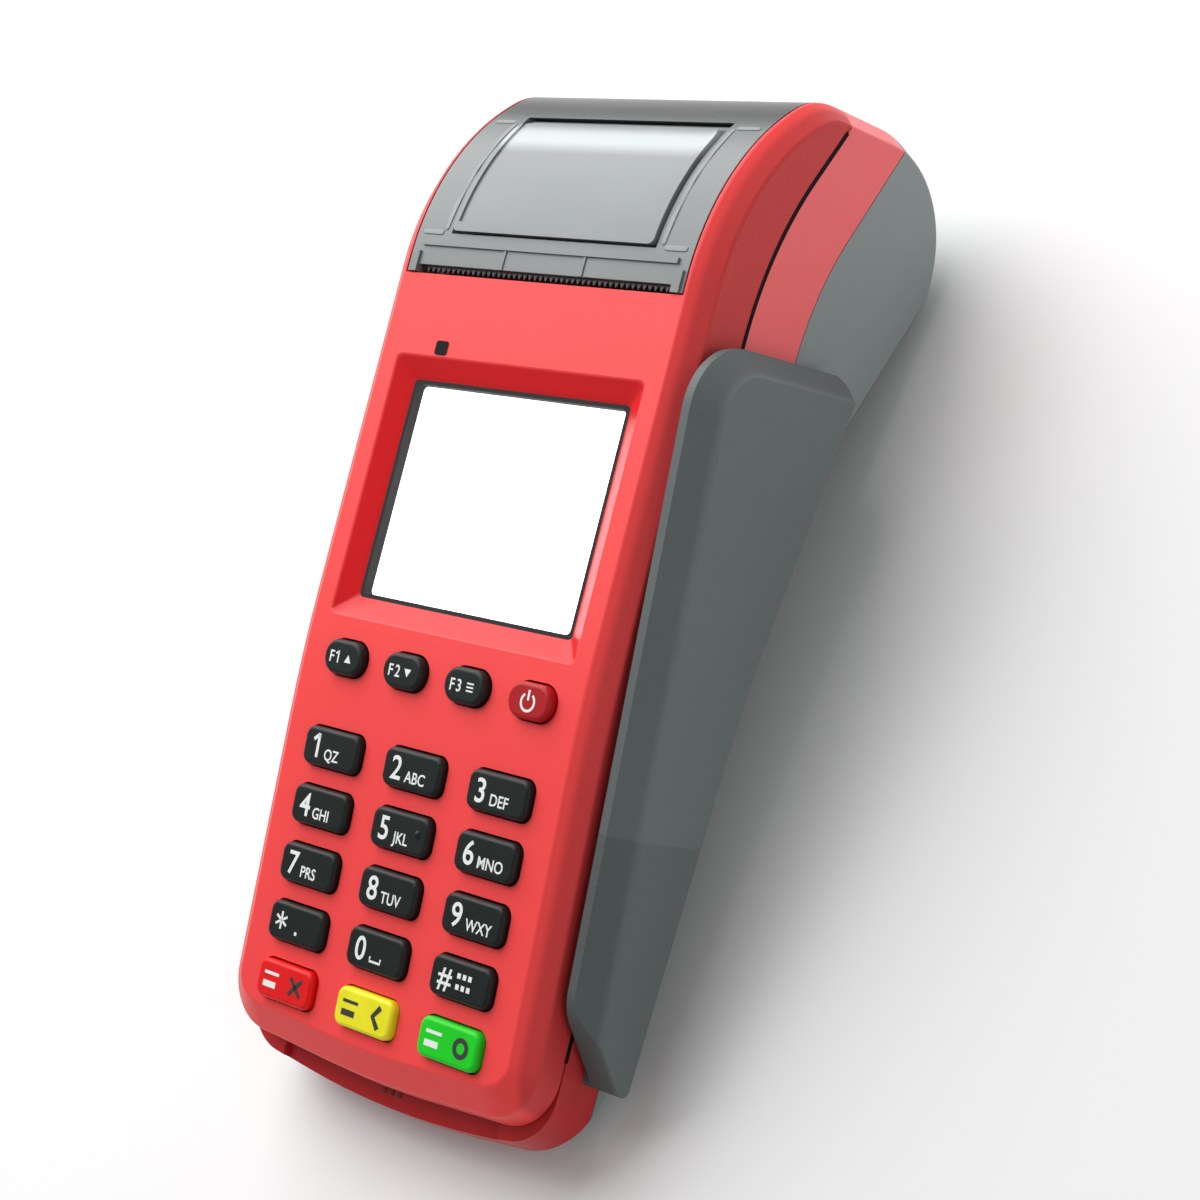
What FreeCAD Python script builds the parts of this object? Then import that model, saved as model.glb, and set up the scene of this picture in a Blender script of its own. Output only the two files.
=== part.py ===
import FreeCAD, Part
import math
import os
from FreeCAD import Vector

# Hand-held card payment terminal with a receipt printer. Millimetres.
#
# Everything is drawn in the face frame: origin in the middle of the keypad on the key tops, +x to the
# right, +y along the face towards the printer, +z out of the face. The terminal lies on its feet with
# its face tilted, so the last step turns the face frame by TILT about x and puts the origin of the
# finished part under the middle of its box, on the surface that it rests on.

# ---- driving dimensions -------------------------------------------------------------------------
TILT = 17.3                # slope of the keypad when the terminal lies on its feet, degrees
HALF_WIDTH = 38.5          # half the width of the body without the swipe guide
WALL = 2.2                 # thickness of the moulded shells
SEAM_GAP = 0.4             # shadow gap between the front housing and the band
FACE_Z = -1.5              # level of the face around the keys
FACE_BEND_Y = 38.0         # where the face starts to slope towards the display
FACE_SLOPE = 4.5           # slope of the display part of the face, degrees
BOW_RADIUS = 190.0         # bow of the end wall under the keypad
CHAMFER_DEEP = 4.2
CHAMFER_WIDE = 3.2
RIM_RADIUS = 0.9           # rounding of the chamfer's edges
FOOT_PROUD = 0.8           # how far the rubber feet stand out of the rear housing

KEY_PITCH_X = 21.0
KEY_PITCH_Y = 10.66
KEY_SIZE = (14.2, 7.0)
SOFT_KEY_SIZE = (9.8, 6.3)
SOFT_KEY_PITCH = 15.5
SOFT_KEY_Y = 37.8
KEY_CLEAR = 0.35           # gap between a key and its hole
KEY_FLANGE_TOP = -4.0

RECESS_HALF = 30.5         # display recess, measured in the sloping display plane
RECESS_SPAN = (7.0, 56.5)
WINDOW_HALF = 26.5
WINDOW_SPAN = (11.3, 52.3)
BEVEL_DEEP = 2.4
LENS_DEEP = 4.4            # the lens lies this far under the face

COVER_HALF = 33.4          # paper cover
COVER_WALL = 1.8
COVER_START_Y = 109.6
BAY_HALF = 33.8            # opening in the housings for the paper cover
HINGE = (144.6, -34.5)     # y and z of the cover hinge
HINGE_PIN_R = 1.25
KNUCKLE_R = 4.4
BAY_FLOOR_Z = -40.0        # the housings are open above this level behind the cover

PLATEN = (113.3, -15.9)    # y and z of the platen
PLATEN_R = 4.5
ROLL = (123.8, -46.8)      # y and z of the middle of the paper roll
ROLL_R = 18.5
PAPER_HALF = 28.75         # half of the 57.5 mm paper

GEAR_MODULE = 0.5
PLATEN_TEETH = 20
IDLER_TEETH = 26
PINION_TEETH = 10
GEAR_X = (-31.2, -29.2)

GUIDE_INNER = 40.4         # x of the inner and outer faces of the swipe guide
GUIDE_OUTER = 46.5
GUIDE_BEVEL = 4.4

DOOR_HALF = 27.0           # battery door
DOOR_SPAN = (2.0, 64.0)
DOOR_GAP = 0.3

SCREW_X = 32.4
BOSS_R = 2.4
SCREW_YS = (-17.0, 86.0)
SLOT_HALF = 27.6           # chip card slot
SLOT_HIGH = 1.6
SLOT_Z = -10.4

# ---- outlines -------------------------------------------------------------------------------------
# Corners are (first coordinate, second coordinate, radius).
SIDE_OUTLINE = [
    (-60, FACE_Z, 0), (FACE_BEND_Y, FACE_Z, 300), (132.7, -8.95, 48), (149.6, -30.5, 15),
    (149.6, -72, 21.5), (122.5, -72, 12), (72.4, -42.1, 70), (-28, -24.9, 8), (-60, -5, 0),
]
UPPER_SEAM = [(-60, -7.85, 0), (120, -20.6, 70), (170, -51.5, 0)]
LOWER_SEAM = [(-60, -16.7, 0), (116, -35.5, 60), (170, -67.3, 0)]
UPPER_END_Y = -31.7        # end of the front housing under the keypad, at the middle
LOWER_END_Y = -36.0        # end of the card lip, which stands further out
GUIDE_OUTLINE = [
    (-10.5, -5.4, 9), (102.2, -4.6, 12), (103.4, -44.0, 2), (45, -28.6, 200), (-25.8, -18.2, 1.5),
]

SWIPE_FLOOR = [(-60, -10.3, 0), (45, -25.6, 0), (130, -47.6, 0)]    # bottom of the swipe slot

TILT_SIN = math.sin(math.radians(TILT))
TILT_COS = math.cos(math.radians(TILT))
UPRIGHT = Vector(0, TILT_SIN, TILT_COS)          # up, away from the table
SLOPE_COS = math.cos(math.radians(FACE_SLOPE))
DOOR_SLOPE = math.atan2(42.1 - 24.9, 72.4 + 28)  # slope of the straight underside
FAR = 200.0


# ---- drawing helpers ------------------------------------------------------------------------------
def rounded_wire(corners, place):
    """Closed wire through the corners, each rounded by its radius; place puts (u, v) in space."""
    count = len(corners)
    runs = []
    for index, (u, v, radius) in enumerate(corners):
        here = Vector(u, v, 0)
        back = Vector(*corners[index - 1][:2], 0) - here
        ahead = Vector(*corners[(index + 1) % count][:2], 0) - here
        if radius == 0:
            runs.append((here, here, here))
            continue
        back.normalize()
        ahead.normalize()
        half_angle = back.getAngle(ahead) / 2
        reach = radius / math.tan(half_angle)
        inward = (back + ahead).normalize()
        middle = here + inward * (radius / math.sin(half_angle) - radius)
        runs.append((here + back * reach, middle, here + ahead * reach))
    edges = []
    for index, (start, middle, end) in enumerate(runs):
        following = runs[(index + 1) % count][0]
        if start.distanceToPoint(end) > 1e-6:
            edges.append(Part.Arc(place(start), place(middle), place(end)).toShape())
        if end.distanceToPoint(following) > 1e-6:
            edges.append(Part.makeLine(place(end), place(following)))
    return Part.Wire(edges)


def side_prism(corners, x_low, x_high, inset=0.0):
    """Outline in the y-z plane carried along x."""
    wire = rounded_wire(corners, lambda point: Vector(x_low, point.x, point.y))
    if inset:
        wire = wire.makeOffset2D(-inset)
    return Part.Face(wire).extrude(Vector(x_high - x_low, 0, 0))


def upright_prism(corners):
    """Outline in the x-y plane carried straight up and down as the terminal lies."""
    wire = rounded_wire(corners, lambda point: Vector(point.x, point.y, 0) - UPRIGHT * 90)
    return Part.Face(wire).extrude(UPRIGHT * 180)


def box(x, y, z):
    """Box between two values along each axis."""
    return Part.makeBox(x[1] - x[0], y[1] - y[0], z[1] - z[0], Vector(x[0], y[0], z[0]))


def rod(x, y, z, radius):
    """Round rod along x from x[0] to x[1]."""
    return Part.makeCylinder(radius, x[1] - x[0], Vector(x[0], y, z), Vector(1, 0, 0))


def post(x, y, z, radius):
    """Round post along z from z[0] to z[1]."""
    return Part.makeCylinder(radius, z[1] - z[0], Vector(x, y, z[0]), Vector(0, 0, 1))


def rounded_block(width, length, radius, z):
    """Block with rounded corners about the z axis."""
    half_x = width / 2
    half_y = length / 2
    corners = [(-half_x, -half_y, radius), (half_x, -half_y, radius),
               (half_x, half_y, radius), (-half_x, half_y, radius)]
    wire = rounded_wire(corners, lambda point: Vector(point.x, point.y, z[0]))
    return Part.Face(wire).extrude(Vector(0, 0, z[1] - z[0]))


def fuse_all(shapes):
    """One solid from touching shapes."""
    result = shapes[0]
    for shape in shapes[1:]:
        result = result.fuse(shape)
    return result.removeSplitter()


def in_display_plane(shape):
    """Move a shape from (x, distance up the display slope, height over the face) into place."""
    turned = shape.copy()
    turned.rotate(Vector(0, 0, 0), Vector(1, 0, 0), -FACE_SLOPE)
    turned.translate(Vector(0, FACE_BEND_Y, FACE_Z))
    return turned


def on_underside(shape):
    """Move a shape from (x, distance along the underside, height over it) into place."""
    turned = shape.copy()
    turned.rotate(Vector(0, 0, 0), Vector(1, 0, 0), -math.degrees(DOOR_SLOPE))
    turned.translate(Vector(0, 0, -24.9 - 28 * math.tan(DOOR_SLOPE)))
    return turned


# ---- outer form of the body -------------------------------------------------------------------------
def plan_outline(end_y, setback, inset=0.0):
    """Outline seen from above: straight sides, rounded corners and a bowed end."""
    half = HALF_WIDTH - inset
    end = end_y + inset
    radius = 10 - inset
    return [(-half, FAR, 0), (-half, end + setback, radius), (0, end, BOW_RADIUS),
            (half, end + setback, radius), (half, FAR, 0)]


def face_normals(solid, edge):
    """Normals of the faces beside an edge, at its middle."""
    middle = edge.valueAt((edge.FirstParameter + edge.LastParameter) / 2)
    return [face.normalAt(*face.Surface.parameter(middle)) for face in solid.ancestorsOfType(edge, Part.Face)]


def is_face_rim(solid, edge):
    """True for an edge where the front face meets an upright wall."""
    normals = face_normals(solid, edge)
    if len(normals) != 2:
        return False
    wall, front = sorted(normals, key=lambda normal: normal.z)
    faces_out = front.z > 0.2 and abs(front.x) < 0.05
    return faces_out and abs(wall.z) < 0.4 and (abs(wall.x) > 0.3 or wall.y < -0.8)


def is_chamfer_rim(solid, edge):
    """True for an edge along either side of the chamfer around the front face."""
    normals = face_normals(solid, edge)
    if len(normals) != 2 or normals[0].getAngle(normals[1]) < 0.3:
        return False
    slanted = [normal.z > 0.25 and (abs(normal.x) > 0.4 or normal.y < -0.4) for normal in normals]
    return slanted[0] != slanted[1]


def body_form(end_y, setback, inset=0.0):
    """Solid form of the body, shrunk by inset, with the chamfer around the front face."""
    solid = side_prism(SIDE_OUTLINE, -60, 60, inset).common(
        upright_prism(plan_outline(end_y, setback, inset)))
    rim = [edge for edge in solid.Edges if is_face_rim(solid, edge)]
    solid = solid.makeChamfer(CHAMFER_DEEP, CHAMFER_WIDE, rim)
    if inset:
        return solid
    return solid.makeFillet(RIM_RADIUS, [edge for edge in solid.Edges if is_chamfer_rim(solid, edge)])


def above(seam, lift):
    """Space on the front side of a seam, moved by lift."""
    corners = [(y, z + lift, radius) for y, z, radius in seam]
    return side_prism(corners + [(170, 20, 0), (-60, 20, 0)], -60, 60)


UPPER_FORM = body_form(UPPER_END_Y, 2.2)
LOWER_FORM = body_form(LOWER_END_Y, 4.5)
UPPER_HOLLOW = body_form(UPPER_END_Y, 2.2, WALL)
LOWER_HOLLOW = body_form(LOWER_END_Y, 4.5, WALL)


def bay_opening():
    """Space that the paper cover and its hinge need in the housings."""
    bay = box((-BAY_HALF, BAY_HALF), (COVER_START_Y - 0.3, 160), (BAY_FLOOR_Z, 10))
    return bay.fuse(rod((-BAY_HALF, BAY_HALF), *HINGE, KNUCKLE_R + 1.1))


def key_places():
    """Name, x, y and size of every key."""
    names = ["1", "2", "3", "4", "5", "6", "7", "8", "9", "star", "0", "hash", "cancel", "clear", "enter"]
    places = []
    for index, name in enumerate(names):
        row, column = divmod(index, 3)
        places.append((name, (column - 1) * KEY_PITCH_X, (2 - row) * KEY_PITCH_Y, KEY_SIZE))
    for index, name in enumerate(["f1", "f2", "f3", "power"]):
        x = (index - 1.5) * SOFT_KEY_PITCH + 0.6
        places.append((name, x, SOFT_KEY_Y, SOFT_KEY_SIZE))
    return places


def key_radius(size, grow=0.0):
    """Corner radius of a key or of its hole: the soft keys are nearly round-ended."""
    return (3.1 if size == SOFT_KEY_SIZE else 1.9) + grow


# ---- housings ---------------------------------------------------------------------------------------
def front_housing():
    """Red front shell with the key holes, the display recess and the cheeks beside the printer."""
    shell = UPPER_FORM.cut(UPPER_HOLLOW).common(above(UPPER_SEAM, SEAM_GAP / 2))
    rim_block = box((-RECESS_HALF - 2.4, RECESS_HALF + 2.4),
                    (RECESS_SPAN[0] - 2.4, RECESS_SPAN[1] + 3.2), (-LENS_DEEP, -1))
    pieces = [shell, in_display_plane(rim_block)]
    for side in (-1, 1):
        wall_x = sorted((side * (BAY_HALF + 0.1), side * (BAY_HALF + 1.3)))
        wall = box(wall_x, (104, 155), (-44, 0))
        pieces.append(wall.common(body_form(UPPER_END_Y, 2.2, WALL + 0.1)))
        pieces.append(wall.common(body_form(UPPER_END_Y, 2.2, WALL - 0.8)).common(above(UPPER_SEAM, 3)))
        for y in SCREW_YS:
            pieces.append(post(side * SCREW_X, y, (screw_split(y), boss_top(y)), BOSS_R))
    housing = fuse_all(pieces)
    cuts = [bay_opening(), box((-SLOT_HALF, SLOT_HALF), (-60, -20), slot_levels())]
    for _, x, y, size in key_places():
        hole = rounded_block(size[0] + 2 * KEY_CLEAR, size[1] + 2 * KEY_CLEAR,
                             key_radius(size, KEY_CLEAR), (-LENS_DEEP - 3, 5))
        pocket = rounded_block(size[0] + 2.4, size[1] + 2.2, key_radius(size, 0.9),
                               (-8, KEY_FLANGE_TOP + 0.25))
        for cut in (hole, pocket):
            cut.translate(Vector(x, y, 0))
            cuts.append(cut)
    cuts.append(display_recess())
    cuts.append(status_light_form())
    cuts.append(rod((-BAY_HALF - 1.3, BAY_HALF + 1.3), *HINGE, HINGE_PIN_R))
    for side in (-1, 1):
        for y in SCREW_YS:
            cuts.append(post(side * SCREW_X, y, (screw_split(y) - 1, boss_top(y) - 2), 1.0))
    return housing.cut(Part.makeCompound(cuts))


def slot_levels():
    """Lower and upper edge of the chip card slot."""
    return (SLOT_Z - SLOT_HIGH / 2, SLOT_Z + SLOT_HIGH / 2)


def screw_split(y):
    """Level where the bosses of the two housings meet."""
    return -17.0 if y < 0 else -28.0


def boss_top(y):
    """Level where a screw boss ends inside the front wall, under the sloping face."""
    return -3.0 if y < 0 else -6.5


def display_rectangle(half, span, level):
    """Rectangle with small round corners in the display plane's own coordinates."""
    corners = [(-half, span[0], 1.0), (half, span[0], 1.0), (half, span[1], 1.0), (-half, span[1], 1.0)]
    return rounded_wire(corners, lambda point: Vector(point.x, point.y, level))


def display_recess():
    """Bevelled recess around the display and the window through its floor."""
    slope = (RECESS_HALF - WINDOW_HALF) / BEVEL_DEEP
    upper_span = (RECESS_SPAN[0] - slope, RECESS_SPAN[1] + slope)
    bevel = Part.makeLoft([display_rectangle(RECESS_HALF + slope, upper_span, 1.0),
                           display_rectangle(WINDOW_HALF, WINDOW_SPAN, -BEVEL_DEEP)], True, True)
    window = Part.Face(display_rectangle(WINDOW_HALF, WINDOW_SPAN, -LENS_DEEP - 1)).extrude(
        Vector(0, 0, LENS_DEEP + 0.5))
    return in_display_plane(bevel.fuse(window))


def status_light_form():
    """Small square light pipe just above the display recess."""
    light = rounded_block(3.0, 2.6, 0.5, (-6.0, 0.15))
    light.translate(Vector(-19.4, 58.0, 0))
    return in_display_plane(light)


def side_band():
    """Red band between the two housings, with the lip under the card slot at the keypad end."""
    shell = LOWER_FORM.cut(LOWER_HOLLOW)
    zone = above(LOWER_SEAM, 0.1).cut(above(UPPER_SEAM, -SEAM_GAP / 2))
    band = shell.common(zone)
    tongue_outer = body_form(UPPER_END_Y, 2.2, WALL + 0.05)
    tongue = tongue_outer.cut(body_form(UPPER_END_Y, 2.2, WALL + 1.1))
    tongue = tongue.common(above(UPPER_SEAM, -2.5).cut(above(UPPER_SEAM, 1.6)))
    root = body_form(UPPER_END_Y, 2.2, WALL - 0.6).cut(body_form(UPPER_END_Y, 2.2, WALL + 1.1))
    root = root.common(LOWER_FORM).common(above(UPPER_SEAM, -2.5).cut(above(UPPER_SEAM, -0.3)))
    tongue = tongue.fuse(root).cut(box((-35.2, 35.2), (100, 160), (-60, 10)))
    bridge = LOWER_HOLLOW.fuse(LOWER_FORM).cut(body_form(UPPER_END_Y, 2.2, WALL + 1.1))
    bridge = bridge.common(above(UPPER_SEAM, -2.5).cut(above(UPPER_SEAM, -SEAM_GAP / 2)))
    bridge = bridge.common(box((-60, 60), (-60, -20), (-60, 10)))
    slot = box((-SLOT_HALF, SLOT_HALF), (-60, -20), slot_levels())
    lead_in = side_prism([(-45, -8.0, 0), (-37.5, SLOT_Z, 0), (-37.5, -9.0, 0)], -SLOT_HALF, SLOT_HALF)
    jack_hole = rod((-60, -30), *JACK, 3.3)
    cuts = Part.makeCompound([bay_opening(), slot, lead_in, jack_hole])
    return fuse_all([band, bridge, tongue]).cut(cuts)


def rear_housing():
    """Dark rear shell with the battery opening and the screw bosses."""
    shell = LOWER_FORM.cut(LOWER_HOLLOW).cut(above(LOWER_SEAM, -0.1))
    pieces = [shell]
    for side in (-1, 1):
        for y in SCREW_YS:
            boss = post(side * SCREW_X, y, (-70, screw_split(y)), BOSS_R)
            pieces.append(boss.common(body_form(LOWER_END_Y, 4.5, 1.0)))
    housing = fuse_all(pieces)
    door_hole = box((-DOOR_HALF - DOOR_GAP, DOOR_HALF + DOOR_GAP),
                    (DOOR_SPAN[0] - DOOR_GAP, DOOR_SPAN[1] + DOOR_GAP), (-5, 5))
    cuts = [bay_opening(), on_underside(door_hole)]
    for side in (-1, 1):
        for y in SCREW_YS:
            level = screw_split(y)
            cuts.append(post(side * SCREW_X, y, (-80, level + 1), 1.15))
            cuts.append(post(side * SCREW_X, y, (-80, screw_seat(y)), 1.9))
    return housing.cut(Part.makeCompound(cuts))


def screw_seat(y):
    """Level of the seat under a case screw's head."""
    return -22.5 if y < 0 else -44.0


def swipe_guide():
    """Fin beside the body that holds a swiped card against the reading head."""
    top_front, top_rear, waist = GUIDE_OUTLINE[1:4]
    blank = [(-60, -5.75, 0), top_front, top_rear[:2] + (0,), waist, (-60, -13.2, 0)]
    fin = side_prism(blank, GUIDE_INNER, GUIDE_OUTER)
    rim = []
    for edge in fin.Edges:
        middle = edge.valueAt((edge.FirstParameter + edge.LastParameter) / 2)
        on_outer_face = edge.BoundBox.XMin > GUIDE_OUTER - 0.01
        if on_outer_face and (middle.z > -8 or middle.y > 102.0):
            rim.append(edge)
    fin = fin.makeChamfer(GUIDE_BEVEL, rim).common(side_prism(GUIDE_OUTLINE, GUIDE_INNER, GUIDE_OUTER))
    floor = side_prism(GUIDE_OUTLINE, HALF_WIDTH, GUIDE_INNER)
    slot = side_prism(SWIPE_FLOOR + [(130, 20, 0), (-60, 20, 0)], HALF_WIDTH - 1, GUIDE_INNER + 1)
    return fuse_all([fin, floor.cut(slot)])


# ---- display and keypad -------------------------------------------------------------------------------
def display_sheet(half, span, levels):
    """Flat sheet in the display plane between two levels."""
    sheet = Part.Face(display_rectangle(half, span, levels[0])).extrude(Vector(0, 0, levels[1] - levels[0]))
    return in_display_plane(sheet)


def grown(span, amount):
    """A span made longer by amount at both ends."""
    return (span[0] - amount, span[1] + amount)


def display_gasket():
    """Black foam frame that lines the window above the lens."""
    levels = (-LENS_DEEP, -BEVEL_DEEP)
    outer = display_sheet(WINDOW_HALF, WINDOW_SPAN, levels)
    return outer.cut(display_sheet(WINDOW_HALF - 0.8, grown(WINDOW_SPAN, -0.8), grown(levels, 1)))


def display_lens():
    """Clear window under the gasket."""
    return display_sheet(WINDOW_HALF + 1.2, grown(WINDOW_SPAN, 1.2), (-LENS_DEEP - 0.8, -LENS_DEEP))


def display_module():
    """Liquid crystal panel with its backlight in one frame."""
    return display_sheet(WINDOW_HALF + 2.2, grown(WINDOW_SPAN, 2.6), (-LENS_DEEP - 4.0, -LENS_DEEP - 0.8))


def antenna_loop():
    """Flat coil for contactless cards around the display."""
    levels = (-LENS_DEEP - 0.3, -LENS_DEEP)
    outer = display_sheet(WINDOW_HALF + 3.3, grown(WINDOW_SPAN, 3.4), levels)
    return outer.cut(display_sheet(WINDOW_HALF + 1.8, grown(WINDOW_SPAN, 1.8), grown(levels, 1)))


def key(x, y, size):
    """Key cap with a retaining flange and a plunger for its dome."""
    cap = rounded_block(size[0], size[1], key_radius(size), (KEY_FLANGE_TOP, 0))
    top = [edge for edge in cap.Edges if edge.BoundBox.ZMin > -0.01]
    cap = cap.makeFillet(0.8, top)
    flange = rounded_block(size[0] + 1.6, size[1] + 1.4, key_radius(size, 0.7), (-4.8, KEY_FLANGE_TOP))
    plunger = post(0, 0, (-6.1, -4.8), 2.0)
    piece = fuse_all([cap, flange, plunger])
    piece.translate(Vector(x, y, 0))
    return piece


def tactile_key(x, y, size):
    """The middle digit key, with its raised dot for the fingertip."""
    dot = Part.makeSphere(0.8, Vector(x + 4.6, y + 0.4, -0.35))
    return fuse_all([key(x, y, size), dot])


def keypad_mat():
    """Silicone sheet under the keys with an opening for each plunger."""
    mat = box((-29.5, 29.5), (-27, 42), (-6.6, -6.2))
    holes = [post(x, y, (-8, -5), 2.6) for _, x, y, _ in key_places()]
    return mat.cut(Part.makeCompound(holes))


def key_domes():
    """Snap domes on the keypad board, one under each key."""
    domes = [post(x, y, (-7.6, -7.25), 2.4) for _, x, y, _ in key_places()]
    return Part.makeCompound(domes)


def keypad_board():
    """Circuit board under the keys."""
    return box((-29.2, 29.2), (-27.5, 44), (-9.0, -7.6))


# ---- electronics ----------------------------------------------------------------------------------------
BOARD_Y = (46.0, 88.0)
BOARD_Z = (-19.6, -18.0)
JACK = (76.0, -24.4)       # y and z of the power jack on the left side


def main_board():
    """Processor board behind the display."""
    return box((-28.5, 28.5), BOARD_Y, BOARD_Z)


def board_chips():
    """Processor, memory, radio module and board connector on the processor board."""
    top = BOARD_Z[1]
    chips = [box((-20, -6), (56, 70), (top, top + 1.4)), box((2, 11), (58, 68), (top, top + 1.0)),
             box((14, 27), (54, 76), (top, top + 2.2)), box((-24, 4), (77, 80), (top, top + 1.6))]
    return Part.makeCompound(chips)


def card_reader():
    """Chip card connector: a flat box with a mouth behind the slot in the end wall."""
    body = box((-29, 29), (-28.4, 25), (-13.4, -9.1))
    return body.cut(box((-SLOT_HALF + 0.3, SLOT_HALF - 0.3), (-40, 22), (SLOT_Z - 0.6, SLOT_Z + 0.6)))


def speaker():
    """Small round loudspeaker on the rear housing's floor."""
    return post(18, 80, (-27.0, -22.6), 8.0)


def dc_jack():
    """Power jack behind the hole in the band: a barrel with a centre contact."""
    y, z = JACK
    body = box((-36.1, -27), (y - 4.5, y + 4.5), (z - 3.6, z + 3.6))
    barrel = rod((-36.1, -29), y, z, 2.75)
    return body.cut(barrel).fuse(rod((-34.5, -28.9), y, z, 0.95)).removeSplitter()


def battery_pack():
    """Rechargeable pack in the rear housing, lying along the sloping underside."""
    pack = box((-25.5, 25.5), (4.5, 61.5), (2.4, 11.6))
    edges = [edge for edge in pack.Edges if edge.BoundBox.YLength > 50]
    return on_underside(pack.makeFillet(2.0, edges))


def battery_door():
    """Cover plate of the battery, flush with the underside, with a thumb groove."""
    door = box((-DOOR_HALF, DOOR_HALF), DOOR_SPAN, (0, 1.9))
    groove = rod((-7, 7), DOOR_SPAN[1] - 6.0, -1.2, 2.0)
    return on_underside(door.cut(groove))


def battery_contacts():
    """Four sprung contact blades at the end of the battery."""
    blades = [box((x - 1, x + 1), (62.0, 65.0), (4.5, 10.0)) for x in (-9, -3, 3, 9)]
    return on_underside(Part.makeCompound(blades))


def swipe_head():
    """Magnetic head that looks into the swipe slot through the body wall."""
    block = box((32.6, 35.0), (32, 46), (-19.5, -12.5))
    nose = Part.makeCylinder(3.0, 6.4, Vector(36.1, 39, -19.2), Vector(0, 0, 1))
    return fuse_all([block, nose.common(box((34.8, 60), (30, 50), (-20, -10)))])


def swipe_head_hole():
    """Opening in the front housing for the head's nose."""
    return box((30, 50), (35.6, 42.4), (-19.9, -12.1))


def swipe_spring():
    """Leaf spring that carries the magnetic head."""
    return box((32.2, 32.6), (26, 52), (-18.4, -13.6))


# ---- printer ---------------------------------------------------------------------------------------------
def spaced(start, angle, distance):
    """Point at a distance and angle from another in the y-z plane."""
    return (start[0] + distance * math.cos(math.radians(angle)),
            start[1] + distance * math.sin(math.radians(angle)))


IDLER_ANGLE = 225.0
PINION_ANGLE = 197.0
IDLER = spaced(PLATEN, IDLER_ANGLE, GEAR_MODULE * (PLATEN_TEETH + IDLER_TEETH) / 2)
PINION = spaced(IDLER, PINION_ANGLE, GEAR_MODULE * (IDLER_TEETH + PINION_TEETH) / 2)


def gear(centre, teeth, tooth_angle, bore):
    """Spur gear in the y-z plane with straight-flanked teeth; one tooth points at tooth_angle."""
    pitch = GEAR_MODULE * teeth / 2
    step = 360.0 / teeth
    root_half = step * 0.30
    pitch_half = step * 0.22
    tip_half = step * 0.12
    points = []
    for index in range(teeth):
        middle = tooth_angle + index * step
        for radius, offset in ((pitch - 0.62, -root_half), (pitch, -pitch_half), (pitch + 0.42, -tip_half),
                               (pitch + 0.42, tip_half), (pitch, pitch_half), (pitch - 0.62, root_half)):
            y, z = spaced(centre, middle + offset, radius)
            points.append(Vector(GEAR_X[0], y, z))
    wheel = Part.Face(Part.makePolygon(points + points[:1])).extrude(Vector(GEAR_X[1] - GEAR_X[0], 0, 0))
    return wheel.cut(rod((GEAR_X[0] - 1, GEAR_X[1] + 1), *centre, bore))


def platen_gear():
    """Gear on the platen shaft; a tooth points at the idler."""
    return gear(PLATEN, PLATEN_TEETH, IDLER_ANGLE, 1.5)


def idler_gear():
    """Idler between motor and platen; a gap faces the platen's tooth."""
    return gear(IDLER, IDLER_TEETH, IDLER_ANGLE - 180 + 180.0 / IDLER_TEETH, 1.05)


def motor_pinion():
    """Pinion on the motor shaft, with a gap or tooth to suit the idler where they meet."""
    idler_step = 360.0 / IDLER_TEETH
    first = IDLER_ANGLE - 180 + 180.0 / IDLER_TEETH
    phase = ((PINION_ANGLE - first) / idler_step) % 1.0
    pinion_step = 360.0 / PINION_TEETH
    return gear(PINION, PINION_TEETH, PINION_ANGLE - 180 + (0.5 + phase) * pinion_step, 0.75)


def platen_shaft():
    """Steel shaft of the platen."""
    return rod((-33.2, 33.2), *PLATEN, 1.5)


def platen_roller():
    """Rubber sleeve of the platen."""
    return rod((-28.4, 28.4), *PLATEN, PLATEN_R).cut(rod((-40, 40), *PLATEN, 1.5))


def platen_bushes():
    """Bushes that carry the platen shaft in the cover."""
    bushes = []
    for side in (-1, 1):
        x = sorted((side * 31.7, side * 33.4))
        bushes.append(rod(x, *PLATEN, 2.6).cut(rod((-40, 40), *PLATEN, 1.54)))
    return Part.makeCompound(bushes)


def printer_frame():
    """Bent plate that holds the motor, the idler and the print head."""
    back = box((-28.6, 28.6), (98.4, 99.4), (-30, -13)).cut(box((-28.0, -14.0), (90, 105), (-34.4, -19.0)))
    sides = []
    for side in (-1, 1):
        x = sorted((side * 27.6, side * 28.6))
        sides.append(side_prism([(98.4, -13, 0), (98.4, -31, 0), (102.5, -31, 0), (107.0, -27, 0),
                                 (107.0, -13, 0)], *x))
    plate = fuse_all([back] + sides)
    stud = rod((GEAR_X[0] - 0.6, -27.6), *IDLER, 1.0)
    motor_hole = rod((-28.7, -27.5), *PINION, 2.2)
    pockets = [Part.makeCylinder(1.9, 3, Vector(x, 97.5, -15.5), Vector(0, 1, 0)) for x in (-10, 10)]
    hinge_hole = rod((-30, 30), *HEAD_PIVOT, 1.05)
    return fuse_all([plate.cut(motor_hole), stud]).cut(Part.makeCompound(pockets + [hinge_hole]))


HEAD_PIVOT = (105.4, -25.0)


def print_head():
    """Thermal line head on its heat sink, hung on a pivot under the platen."""
    ceramic = box((-26.5, 26.5), (107.3, PLATEN[0] - PLATEN_R - 0.12), (-21, -12))
    sink = box((-26.5, 26.5), (105.0, 107.3), (-26, -12))
    pivot = rod((-28.9, 28.9), *HEAD_PIVOT, 1.0)
    return fuse_all([ceramic, sink, pivot])


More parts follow.
